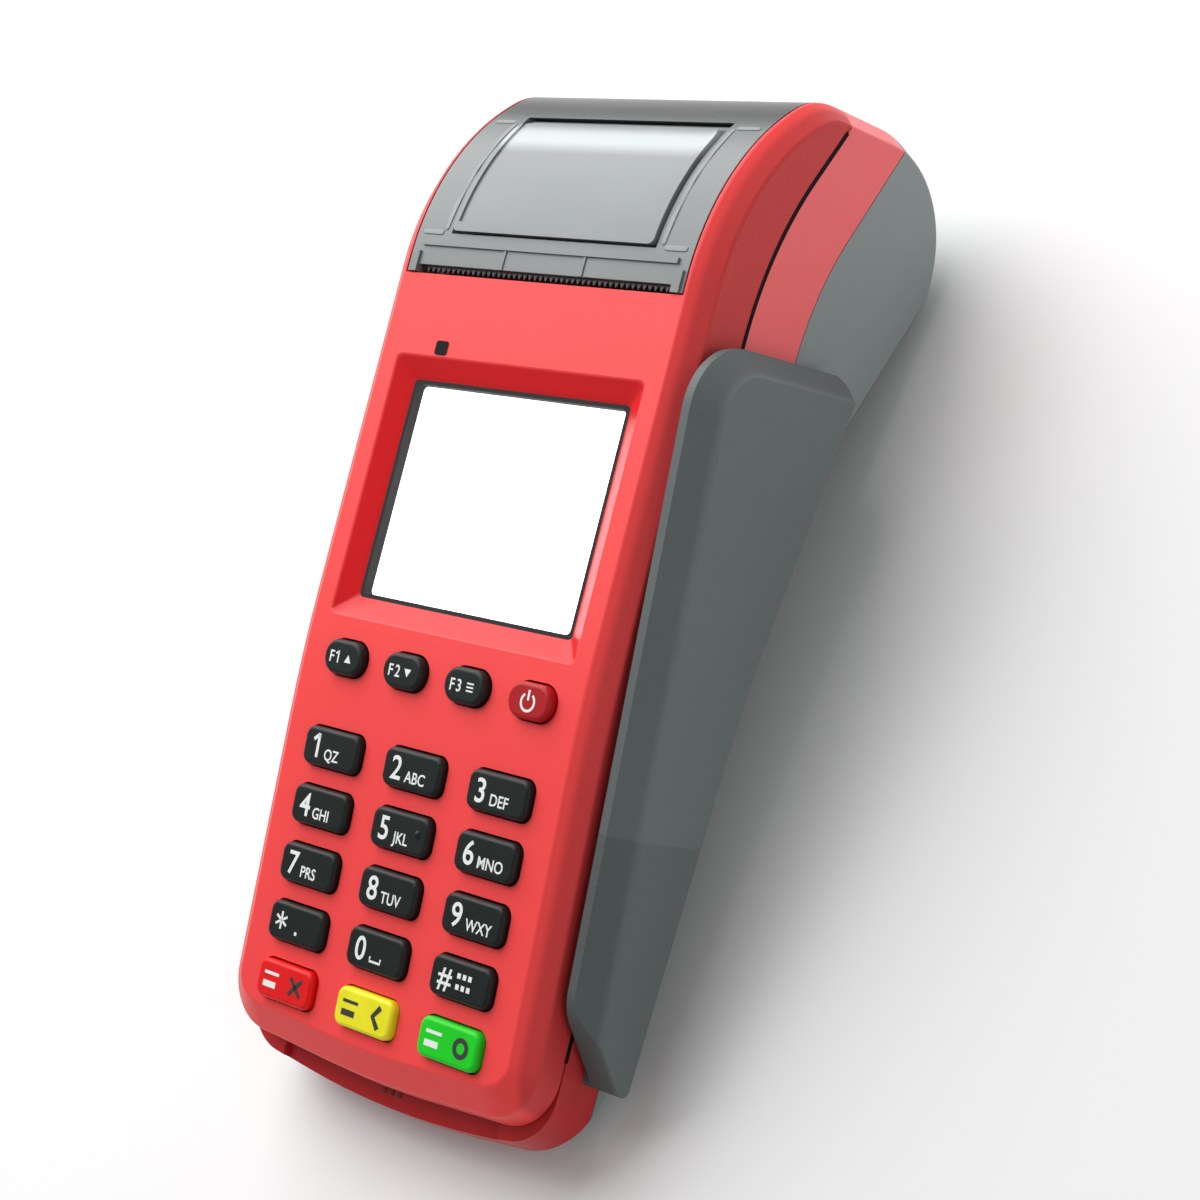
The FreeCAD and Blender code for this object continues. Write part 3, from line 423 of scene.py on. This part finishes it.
def housing_red(name, colour):
    """Satin red of the front housing: rougher on the side walls outside the face's edge, with painted shade
    darkening them, and polished on the bevel of the display recess, which lies under the display plane,
    with painted shade making it a purer, deeper red."""
    finish = Finish(name, IOR=1.34)
    x, y, z = finish.axes()
    sideways = finish.maths("ABSOLUTE", x - FACE_ORIGIN[0], 0.0)
    side = finish.step(sideways, *FACE_EDGE)
    turn = TILT - FACE_SLOPE
    start = from_face([(0.0, *FACE_BEND)])[0]
    depth = (y - start[1]) * math.sin(turn) - (z - start[2]) * math.cos(turn)
    along = (y - start[1]) * math.cos(turn) + (z - start[2]) * math.sin(turn)
    recess = (finish.step(depth, *RECESS_DEPTH) * (1 - finish.step(sideways, *RECESS_SIDE))
              * finish.step(along, *RECESS_START) * (1 - finish.step(along, *RECESS_END)))
    slow = finish.noise(38.0, 3.0)
    fine = finish.noise(3000.0, 2.0)
    face = finish.mix(slow * 0.7 + fine * 0.3, rgba(colour, 0.95), rgba(colour, 1.05))
    # Painted shade: the side walls outside the face's edge are painted darker than the face.
    shaded_wall = finish.mix(fine, rgba(colour, 0.56), rgba(colour, 0.78))
    # Painted shade: the recess bevel is painted a deeper, purer red.
    shaded_bevel = rgba((0.76 * colour[0], 0.16 * colour[1], 0.22 * colour[2]))
    finish.colour(finish.mix(recess, finish.mix(side, face, shaded_wall), shaded_bevel))
    finish.roughness(0.36 + slow * 0.08 + fine * 0.05 + side * 0.08 - recess * 0.1)
    finish.bump(fine, 0.45, 0.00005)
    return finish.material


def band_red(name, colour):
    """Smooth red of the side band, with painted shade deepening it towards the lip at the keypad end."""
    finish = Finish(name, IOR=1.34)
    # Painted shade: the band is painted a deep red towards the lip at the keypad end.
    painted_lip_shade = 1 - finish.step(finish.along_face(), *LIP_FADE)
    fine = finish.noise(2600.0, 2.0)
    plain = finish.mix(fine, rgba(colour, 0.95), rgba(colour, 1.05))
    finish.colour(finish.mix(painted_lip_shade, plain, (0.50, 0.018, 0.022, 1.0)))
    finish.roughness(0.32 + fine * 0.06)
    finish.bump(fine, 0.4, 0.00003)
    return finish.material


def metal(name, colour, roughness):
    """Drawn or ground metal: fine streaks along x in colour, gloss and height."""
    finish = Finish(name, Metallic=1.0)
    streak = finish.noise(160.0, 4.0, (1.0, 30.0, 30.0))
    finish.colour(finish.mix(streak, rgba(colour, 0.84), rgba(colour, 1.1)))
    finish.roughness(roughness - 0.08 + streak * 0.18)
    finish.bump(streak, 0.2, 0.00003)
    return finish.material


def guide_plastic(name, colour):
    """Textured plastic of the swipe guide, darker on the keypad side of its seam, with painted shade
    darkening its bevel.
    """
    finish = Finish(name)
    upper = finish.step(finish.along_face(), *GUIDE_SEAM)
    fine = finish.noise(3600.0, 2.0)
    slow = finish.noise(30.0, 2.0)
    # Painted shade: the bevel, inside GUIDE_BEVEL, is painted darker than the guide's outer face.
    outer = finish.step(finish.axes()[0], *GUIDE_BEVEL)
    shade = fine * 0.35 + slow * 0.15 + upper * 0.2 + outer * 0.3
    finish.colour(finish.mix(shade, rgba(colour, 0.40), rgba(colour, 1.36)))
    finish.roughness(0.56 + fine * 0.12)
    finish.bump(fine * 0.5 + upper, 0.5, 0.00006)
    return finish.material


def smoked(name, colour, alpha, roughness, painted_sheen=None, painted_shade=None):
    """Smoked polycarbonate: polished, slightly clear, with flow marks and light scuffs. A painted highlight
    makes it paler in a band that rises from the first place along y given for the sheen and falls from the
    second, and painted shade turns it dark between the two places given for the dark end."""
    finish = Finish(name, IOR=1.42, Alpha=alpha)
    flow = finish.noise(26.0, 3.0, (1.0, 2.5, 1.0))
    scuff = finish.noise(900.0, 3.0, (1.0, 6.0, 1.0))
    shade = finish.mix(flow, rgba(colour, 0.86), rgba(colour, 1.16))
    if painted_sheen:
        # Painted highlight: a paler band across the flap stands in for its sheen.
        y = finish.axes()[1]
        band = finish.step(y, painted_sheen[0], painted_sheen[0] + 0.004) * (1 - finish.step(y, painted_sheen[1], painted_sheen[1] + 0.003))
        shade = finish.mix(band, shade, rgba(colour, 2.3))
    if painted_shade:
        # Painted shade: the cover is painted dark towards its rear end.
        shade = finish.mix(finish.step(finish.axes()[1], *painted_shade), shade, rgba(colour, 0.12))
    finish.colour(shade)
    finish.roughness(roughness + flow * 0.05 + scuff * 0.05)
    finish.bump(scuff, 0.12, 0.00002)
    return finish.material


def silicone(name, colour, roughness=0.42):
    """Coated silicone of a key: soft sheen, very fine grain and slightly uneven polish."""
    finish = Finish(name, IOR=1.36)
    fine = finish.noise(5200.0, 2.0)
    slow = finish.noise(210.0, 2.0)
    finish.colour(finish.mix(slow, rgba(colour, 0.9), rgba(colour, 1.12)))
    finish.roughness(roughness - 0.08 + slow * 0.12 + fine * 0.05)
    finish.bump(fine, 0.3, 0.00003)
    return finish.material


def circuit_board(name, colour):
    """Solder mask over tracks: square cells show the copper as lighter green."""
    finish = Finish(name, Coat_Weight=0.4, Roughness=0.35)
    cells = finish.node("ShaderNodeTexVoronoi", {"distance": "CHEBYCHEV", "feature": "F1"},
                        Vector=finish.place, Scale=420.0, Randomness=0.6)
    track = finish.step(cells, 0.38, 0.44)
    finish.colour(finish.mix(track, rgba(colour, 0.8), rgba(colour, 1.9)))
    finish.bump(track, 0.4, 0.00004)
    return finish.material


def wound_paper(name, colour, centre):
    """Thermal paper: faint rings around the roll's middle on its ends, and a fibre grain."""
    finish = Finish(name)
    x, y, z = finish.axes()
    away = finish.maths("SQRT", (y - centre[0]) ** 2.0 + (z - centre[1]) ** 2.0, 0.0)
    ring = finish.maths("SINE", away * 14000.0, 0.0) * 0.5 + 0.5
    fibre = finish.noise(1500.0, 4.0)
    finish.colour(finish.mix(ring * 0.6 + fibre * 0.4, rgba(colour, 0.86), rgba(colour, 1.02)))
    finish.roughness(0.72 + fibre * 0.12)
    finish.bump(ring * 0.5 + fibre * 0.5, 0.3, 0.00004)
    return finish.material


def lit_panel(name, strength):
    """Backlit white panel, very slightly uneven in the tint of its light."""
    finish = Finish(name, Base_Color=(0.9, 0.9, 0.92, 1.0), Roughness=0.35, Emission_Strength=strength)
    cloud = finish.noise(24.0, 2.0)
    finish.feed(finish.shader.inputs["Emission Color"],
                finish.mix(cloud, (0.96, 0.98, 1.0, 1.0), (1.0, 1.0, 1.0, 1.0)))
    return finish.material


def clear_lens(name):
    """Clear hard-coated window: almost invisible, with faint smears in its gloss."""
    finish = Finish(name, Base_Color=(0.95, 0.97, 0.98, 1.0), Alpha=0.1, IOR=1.49)
    smear = finish.noise(60.0, 4.0)
    finish.roughness(0.03 + smear * 0.08)
    return finish.material


def legend_ink(name, colour):
    """Screen-printed ink: matt, with a slightly uneven shade."""
    finish = Finish(name)
    speck = finish.noise(4200.0, 3.0)
    finish.colour(finish.mix(speck, rgba(colour, 0.9), rgba(colour, 1.05)))
    finish.roughness(0.5 + speck * 0.15)
    finish.bump(speck, 0.2, 0.00001)
    return finish.material


# ---- legends ----------------------------------------------------------------------------------------
def figure_one(height, left, base):
    """A 1 with its flag: an upright bar and a short slanting bar from its top."""
    bar = 0.15 * height
    return [ribbon([(left + 0.30 * height, base), (left + 0.30 * height, base + height)], bar),
            ribbon([(left, base + 0.72 * height), (left + 0.30 * height, base + 0.97 * height)], bar)]


def icon_shapes(name):
    """Cross, arrow head and ring of the three colour keys."""
    return {"cancel": [ribbon([(1.7, -1.5), (4.7, 1.5)], 0.8), ribbon([(1.7, 1.5), (4.7, -1.5)], 0.8)],
            "clear": [ribbon([(4.2, 1.9), (2.6, 0.0), (4.2, -1.9)], 1.0)],
            "enter": [ribbon(arc(1.4, 0, 360, 33, (3.3, 0.0))[:-1], 0.85, closed=True)]}.get(name)


def legend_shapes(name, digit_height, letter_height):
    """Bars, rings and generic letters printed on a key, around the key's middle."""
    letters = {"1": "QZ", "2": "ABC", "3": "DEF", "4": "GHI", "5": "JKL", "6": "MNO", "7": "PRS",
               "8": "TUV", "9": "WXY"}
    dashes = [ribbon([(-5.2, 1.1), (-1.4, 1.1)], 0.55), ribbon([(-5.2, -0.9), (-1.9, -0.9)], 1.1)]
    if name in letters:
        digit = figure_one(digit_height, -4.5, -2.0) if name == "1" else [
            lettering(name, digit_height, -4.8, -2.0, 0.95)]
        return digit + [lettering(letters[name], letter_height, -1.2, -2.1, 0.9)]
    if name == "0":
        return [lettering("0", digit_height, -4.8, -2.0, 0.95),
                ribbon([(-0.8, -0.9), (-0.8, -1.7), (1.8, -1.7), (1.8, -0.9)], 0.4)]
    if name == "star":
        spokes = [ribbon([(-3.6 - 1.6 * math.cos(angle), -1.6 * math.sin(angle) + 0.1),
                          (-3.6 + 1.6 * math.cos(angle), 1.6 * math.sin(angle) + 0.1)], 0.45)
                  for angle in np.radians((30, 90, 150))]
        return spokes + [ribbon([(0.3, -1.5), (0.9, -1.5)], 0.6)]
    if name == "hash":
        cells = [ribbon([(left, level), (left + 0.8, level)], 0.9)
                 for left in (-0.6, 0.7, 2.0) for level in (0.9, -1.0)]
        return [lettering("#", digit_height * 0.92, -5.0, -1.9, 1.0)] + cells
    if name in ("cancel", "clear", "enter"):
        return dashes
    if name == "power":
        return [ribbon(arc(1.5, 125, 415, 40, (0.0, -0.2)), 0.45), ribbon([(0, 0.1), (0, 1.9)], 0.45)]
    marks = {"f1": [ribbon([(1.6, -0.8), (1.6, 0.6)], (1.7, 0.05))],
             "f2": [ribbon([(1.6, 0.6), (1.6, -0.8)], (1.7, 0.05))],
             "f3": [ribbon([(0.9, level), (2.5, level)], 0.28) for level in (-0.7, -0.05, 0.6)]}
    figure = figure_one(2.2, -1.6, -1.1) if name == "f1" else [lettering(name[1], 2.2, -1.5, -1.1, 0.9)]
    return [lettering("F", 2.2, -3.1, -1.1, 0.9)] + figure + marks[name]


# ---- settings ---------------------------------------------------------------------------------------
def colour_property(name, description, default):
    return bpy.props.FloatVectorProperty(name=name, description=description, default=default,
                                         subtype="COLOR", size=3, min=0.0, max=1.0)


class TerminalShellSettings(bpy.types.PropertyGroup):
    face: colour_property("Face", "Colour of the front housing", (0.93, 0.066, 0.066))
    band: colour_property("Band", "Colour of the side band", (1.0, 0.150, 0.155))
    shell: colour_property("Shell", "Colour of the rear housing", (0.250, 0.284, 0.284))
    guide: colour_property("Guide", "Colour of the swipe guide", (0.122, 0.148, 0.147))
    cover: colour_property("Cover", "Colour of the smoked paper cover", (0.21, 0.230, 0.228))
    pane: colour_property("Pane", "Colour of the lift flap", (0.24, 0.262, 0.262))


class TerminalKeySettings(bpy.types.PropertyGroup):
    dark: colour_property("Digit keys", "Colour of the digit keys", (0.006, 0.011, 0.010))
    cancel: colour_property("Cancel key", "Colour of the cancel key", (0.78, 0.004, 0.005))
    clear: colour_property("Clear key", "Colour of the clear key", (0.86, 0.80, 0.015))
    enter: colour_property("Enter key", "Colour of the enter key", (0.008, 0.64, 0.014))
    power: colour_property("Power key", "Colour of the power key", (0.42, 0.006, 0.009))
    digit_height: bpy.props.FloatProperty(
        name="Digit height", description="Height of a digit on its key, in millimetres",
        default=4.3, min=2.0, max=5.0)
    letter_height: bpy.props.FloatProperty(
        name="Letter height", description="Height of the small letters, in millimetres",
        default=2.1, min=0.8, max=3.0)


class TerminalStageSettings(bpy.types.PropertyGroup):
    floor: colour_property("Floor", "Colour of the floor", (0.86, 0.86, 0.86))
    floor_size: bpy.props.FloatProperty(
        name="Floor size", description="Length of the floor's sides", default=6.0, unit="LENGTH")
    daylight: bpy.props.FloatProperty(
        name="Surrounding light", description="Strength of the even light from all round", default=0.34)
    key_light: bpy.props.FloatProperty(
        name="Main light", description="Power of the large soft light, in watts", default=14.2)
    lens: bpy.props.FloatProperty(
        name="Lens", description="Focal length of the camera, in millimetres", default=78.0)


# ---- operators --------------------------------------------------------------------------------------
class TerminalHousings(bpy.types.Operator):
    """Finish the housings, the band, the guide and the battery door, and add a painted shadow along the
    seam and the ridges
    """
    bl_idname = "terminal.housings"
    bl_label = "Housings"

    def execute(self, context):
        look = context.scene.terminal_shell
        dress("front_housing", housing_red("satin_red", look.face))
        dress("side_band", band_red("satin_band_red", look.band))
        shell = moulded("textured_grey", look.shell, 0.52, 2400.0, 0.00009, 0.12)
        dress("rear_housing", shell)
        dress("battery_door", shell)
        dress("swipe_guide", guide_plastic("guide_texture", look.guide))
        # Painted shadow: a near-black strip on each side where the seam's gap falls into shade.
        seam_shade = moulded("painted_shadow_black", (0.006, 0.006, 0.006), 0.7, 2000.0, 0.00002, IOR=1.2)
        for name, side in (("left", -1), ("right", 1)):
            points, quads = ribbon(seam_path(), SEAM_SHADOW_WIDTH, SEAM_SHADOW_INNER, SEAM_SHADOW_OUTER[name])
            points = points[:, (2, 0, 1)] * (side, 1, 1)
            make_piece("seam_shadow_line_" + name, from_face(points), outward(points, quads).tolist(), "case",
                       seam_shade)
        ridges = [pillow((0.0, RIDGE_START + RIDGE_PITCH * index, 0.0), RIDGE_HALF) for index in range(5)]
        points, faces = merged(ridges)
        make_piece("door_ridges", from_slope(points, UNDERSIDE_SLOPE, 0.0, UNDERSIDE_START), faces,
                   "door", shell, True)
        return {"FINISHED"}


class TerminalDisplay(bpy.types.Operator):
    """Finish the display, its gasket and the status light"""
    bl_idname = "terminal.display"
    bl_label = "Display"

    def execute(self, context):
        dress("display_module", lit_panel("lit_white", 1.6))
        dress("display_lens", clear_lens("hard_coated_window"))
        dress("display_gasket", moulded("foam_black_grain", (0.012, 0.012, 0.013), 0.8, 2000.0,
                                        0.0001))
        dress("status_light", moulded("dark_light_pipe", (0.004, 0.004, 0.004), 0.5, 1800.0, 0.00001,
                                      IOR=1.2))
        dress("antenna_loop", metal("etched_copper", (0.72, 0.42, 0.24), 0.35))
        return {"FINISHED"}


class TerminalKeys(bpy.types.Operator):
    """Finish the key caps"""
    bl_idname = "terminal.keys"
    bl_label = "Keys"

    def execute(self, context):
        look = context.scene.terminal_keys
        finishes = {name: silicone("key_" + name + "_silicone", getattr(look, name))
                    for name in ("dark", "cancel", "clear", "enter", "power")}
        for name in key_centres():
            dress("key_" + name, finishes.get(name, finishes["dark"]))
        return {"FINISHED"}


class TerminalLegends(bpy.types.Operator):
    """Print the generic legends on the keys"""
    bl_idname = "terminal.legends"
    bl_label = "Legends"

    def execute(self, context):
        look = context.scene.terminal_keys
        white = legend_ink("legend_white", (0.86, 0.88, 0.88))
        black = legend_ink("legend_black", (0.03, 0.03, 0.03))
        for name, centre in key_centres().items():
            points, faces = merged(legend_shapes(name, look.digit_height, look.letter_height))
            points = points + (centre[0], centre[1], 0.0)
            make_piece("legend_" + name, from_face(points), faces, "button_" + name,
                       black if name == "clear" else white)
            if icon_shapes(name):
                points, faces = merged(icon_shapes(name))
                points = points + (centre[0], centre[1], 0.0)
                make_piece("icon_" + name, from_face(points), faces, "button_" + name, black)
        return {"FINISHED"}


class TerminalCover(bpy.types.Operator):
    """Finish the smoked paper cover, its lift flap and the tear bar, and add the cover's trim, painted
    paler as a highlight
    """
    bl_idname = "terminal.cover"
    bl_label = "Paper cover"

    def execute(self, context):
        look = context.scene.terminal_shell
        dress("paper_cover", smoked("smoked_cover", look.cover, 0.92, 0.24, painted_shade=COVER_DARK))
        dress("lift_flap", smoked("smoked_pane", look.pane, 0.93, 0.26, FLAP_SHEEN))
        dress("tear_bar", moulded("tear_bar_black", (0.015, 0.015, 0.016), 0.4, 2200.0, 0.00003))
        # Painted highlight: the trim is a copy of the cover's finish painted 1.3 times paler, for light
        # lines along its bars.
        paler_trim = smoked("smoked_trim", rgba(look.cover, 1.3), 0.95, 0.3)
        bars = [pillow((side * TRIM_BAR_X, along, 0.0), TRIM_BAR_HALF) for side in (-1, 1)
                for along in TRIM_BAR_ALONG]
        bars += [pillow((side * TRIM_RAIL_X, TRIM_RAIL_ALONG, 0.0), TRIM_RAIL_HALF) for side in (-1, 1)]
        points, faces = merged(bars)
        make_piece("cover_trim", from_crown(points), faces, "cover", paler_trim, True)
        return {"FINISHED"}


class TerminalPrinter(bpy.types.Operator):
    """Finish the printer's frame, head, gears, platen and paper"""
    bl_idname = "terminal.printer"
    bl_label = "Printer"

    def execute(self, context):
        low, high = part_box("paper_roll")
        middle = ((low[1] + high[1]) / 2, (low[2] + high[2]) / 2)
        steel = metal("zinc_plate", (0.60, 0.60, 0.61), 0.34)
        nylon = moulded("natural_nylon", (0.80, 0.79, 0.72), 0.42, 1800.0, 0.00003)
        for node in ("printer_frame", "stepper_motor", "platen_shaft", "hinge_pin"):
            dress(node, steel)
        for node in ("idler_gear", "platen_gear", "platen_bushes"):
            dress(node, nylon)
        dress("motor_pinion", metal("machined_brass", (0.76, 0.57, 0.25), 0.3))
        dress("head_springs", metal("spring_steel", (0.55, 0.55, 0.56), 0.25))
        dress("print_head", moulded("glazed_ceramic", (0.74, 0.74, 0.70), 0.2, 1500.0, 0.00001,
                                    Coat_Weight=0.5))
        dress("platen_roller", moulded("ground_rubber", (0.03, 0.03, 0.03), 0.7, 2800.0, 0.00006))
        dress("paper_bin", moulded("bin_black_grain", (0.025, 0.026, 0.027), 0.5, 2400.0, 0.00006))
        dress("paper_roll", wound_paper("receipt_paper_wound", (0.88, 0.88, 0.86), middle))
        dress("paper_core", wound_paper("core_cardboard", (0.46, 0.33, 0.20), middle))
        return {"FINISHED"}


class TerminalInsides(bpy.types.Operator):
    """Finish the boards, the readers, the battery and the other pieces inside"""
    bl_idname = "terminal.insides"
    bl_label = "Insides"

    def execute(self, context):
        board = circuit_board("solder_mask", (0.015, 0.16, 0.06))
        dress("main_board", board)
        dress("keypad_board", board)
        black = moulded("connector_black", (0.022, 0.022, 0.024), 0.45, 2200.0, 0.00004)
        for node in ("board_chips", "card_reader", "speaker", "dc_jack"):
            dress(node, black)
        dress("keypad_mat", silicone("mat_grey_silicone", (0.22, 0.23, 0.24), 0.6))
        dome = metal("dome_stainless", (0.62, 0.62, 0.63), 0.24)
        dress("key_domes", dome)
        dress("swipe_spring", dome)
        dress("swipe_head", metal("ground_head", (0.52, 0.52, 0.53), 0.2))
        dress("battery_pack", moulded("shrink_film", (0.05, 0.09, 0.17), 0.25, 500.0, 0.0001,
                                      Coat_Weight=0.4))
        dress("battery_contacts", metal("gold_plate", (0.86, 0.63, 0.25), 0.24))
        return {"FINISHED"}


class TerminalFittings(bpy.types.Operator):
    """Finish the feet and screws and add the grip marks on the card lip"""
    bl_idname = "terminal.fittings"
    bl_label = "Fittings"

    def execute(self, context):
        dress("rubber_feet", moulded("foot_rubber_grain", (0.025, 0.025, 0.026), 0.75, 1600.0, 0.0001))
        dress("case_screws", metal("screw_zinc", (0.50, 0.50, 0.51), 0.32))
        look = context.scene.terminal_shell
        marks = [pillow((LIP_MARK[0] + LIP_MARK_PITCH * index, *LIP_MARK[1:]), LIP_MARK_HALF, 0.6, 24)
                 for index in (-1, 0, 1)]
        points, faces = merged(marks)
        dark = moulded("lip_mark_red", rgba(look.face, 0.18), 0.4, 2600.0, 0.00003)
        make_piece("lip_marks", from_face(points), faces, "case", dark, True)
        return {"FINISHED"}


def add_light(name, size, power, place, target):
    """Square area light at a place, turned to a target."""
    data = bpy.data.lights.new(name, "AREA")
    data.size = size
    data.energy = power
    light = bpy.data.objects.new(name, data)
    away = np.asarray(place) - np.asarray(target)
    away = away / np.linalg.norm(away)
    side = np.cross((0.0, 0.0, 1.0), away)
    side /= np.linalg.norm(side)
    light.matrix_world = placed(side, np.cross(away, side), away, place)
    bpy.context.scene.collection.objects.link(light)


def placed(right, up, back, place):
    """Matrix of a light or camera from its three directions and its place."""
    return Matrix([*zip(right, up, back, place), (0.0, 0.0, 0.0, 1.0)])


class TerminalStage(bpy.types.Operator):
    """Lay the floor, set the soft lights and place the camera"""
    bl_idname = "terminal.stage"
    bl_label = "Stage"

    def execute(self, context):
        look = context.scene.terminal_stage
        half = look.floor_size / 2
        mesh = bpy.data.meshes.new("floor")
        corners = [(-half, -half, 0), (half, -half, 0), (half, half, 0), (-half, half, 0)]
        mesh.from_pydata(corners, [], [(0, 1, 2, 3)])
        floor_finish = Finish("pale_floor", Roughness=0.85)
        floor_finish.colour(rgba(look.floor))
        mesh.materials.append(floor_finish.material)
        floor = bpy.data.objects.new("floor", mesh)
        context.scene.collection.objects.link(floor)
        world = bpy.data.worlds.new("soft_surround")
        world.use_nodes = True
        surround = world.node_tree.nodes["Background"]
        surround.inputs["Color"].default_value = (1.0, 1.0, 1.0, 1.0)
        surround.inputs["Strength"].default_value = look.daylight
        context.scene.world = world
        target = (0.0, 0.0, 0.03)
        add_light("main_softbox", 1.1, look.key_light, (-0.45, 0.45, 0.65), target)
        add_light("side_fill", 0.4, look.key_light * 0.05, (0.80, -0.10, 0.40), target)
        context.scene.view_settings.view_transform = "Standard"
        data = bpy.data.cameras.new("camera")
        data.lens = look.lens
        data.sensor_width = 36.0
        data.clip_start = 0.01
        camera = bpy.data.objects.new("camera", data)
        right = (0.73379, 0.38068, -0.56270)
        up = (-0.14272, 0.89616, 0.42016)
        back = (0.66421, -0.22800, 0.71192)
        eye = (0.31489, -0.10632, 0.35370)
        camera.matrix_world = placed(right, up, back, eye)
        context.scene.collection.objects.link(camera)
        context.scene.camera = camera
        return {"FINISHED"}


# ---- panel and registration -------------------------------------------------------------------------
OPERATORS = (TerminalHousings, TerminalDisplay, TerminalKeys, TerminalLegends, TerminalCover,
             TerminalPrinter, TerminalInsides, TerminalFittings, TerminalStage)
SETTINGS = {"terminal_shell": TerminalShellSettings, "terminal_keys": TerminalKeySettings,
            "terminal_stage": TerminalStageSettings}


class TerminalPanel(bpy.types.Panel):
    """Settings and steps of the terminal"""
    bl_idname = "VIEW3D_PT_terminal"
    bl_label = "Payment terminal"
    bl_space_type = "VIEW_3D"
    bl_region_type = "UI"
    bl_category = "Terminal"

    def draw(self, context):
        for holder in SETTINGS:
            group = getattr(context.scene, holder)
            for name in group.__annotations__:
                self.layout.prop(group, name)
        for operator in OPERATORS:
            self.layout.operator(operator.bl_idname)


def register():
    for kind in (*SETTINGS.values(), *OPERATORS, TerminalPanel):
        bpy.utils.register_class(kind)
    for holder, kind in SETTINGS.items():
        setattr(bpy.types.Scene, holder, bpy.props.PointerProperty(type=kind))


def unregister():
    for holder in SETTINGS:
        delattr(bpy.types.Scene, holder)
    for kind in reversed((*SETTINGS.values(), *OPERATORS, TerminalPanel)):
        bpy.utils.unregister_class(kind)


def main():
    """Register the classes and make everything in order."""
    register()
    for operator in OPERATORS:
        group, action = operator.bl_idname.split(".")
        getattr(getattr(bpy.ops, group), action)()


if __name__ == "__main__":
    main()
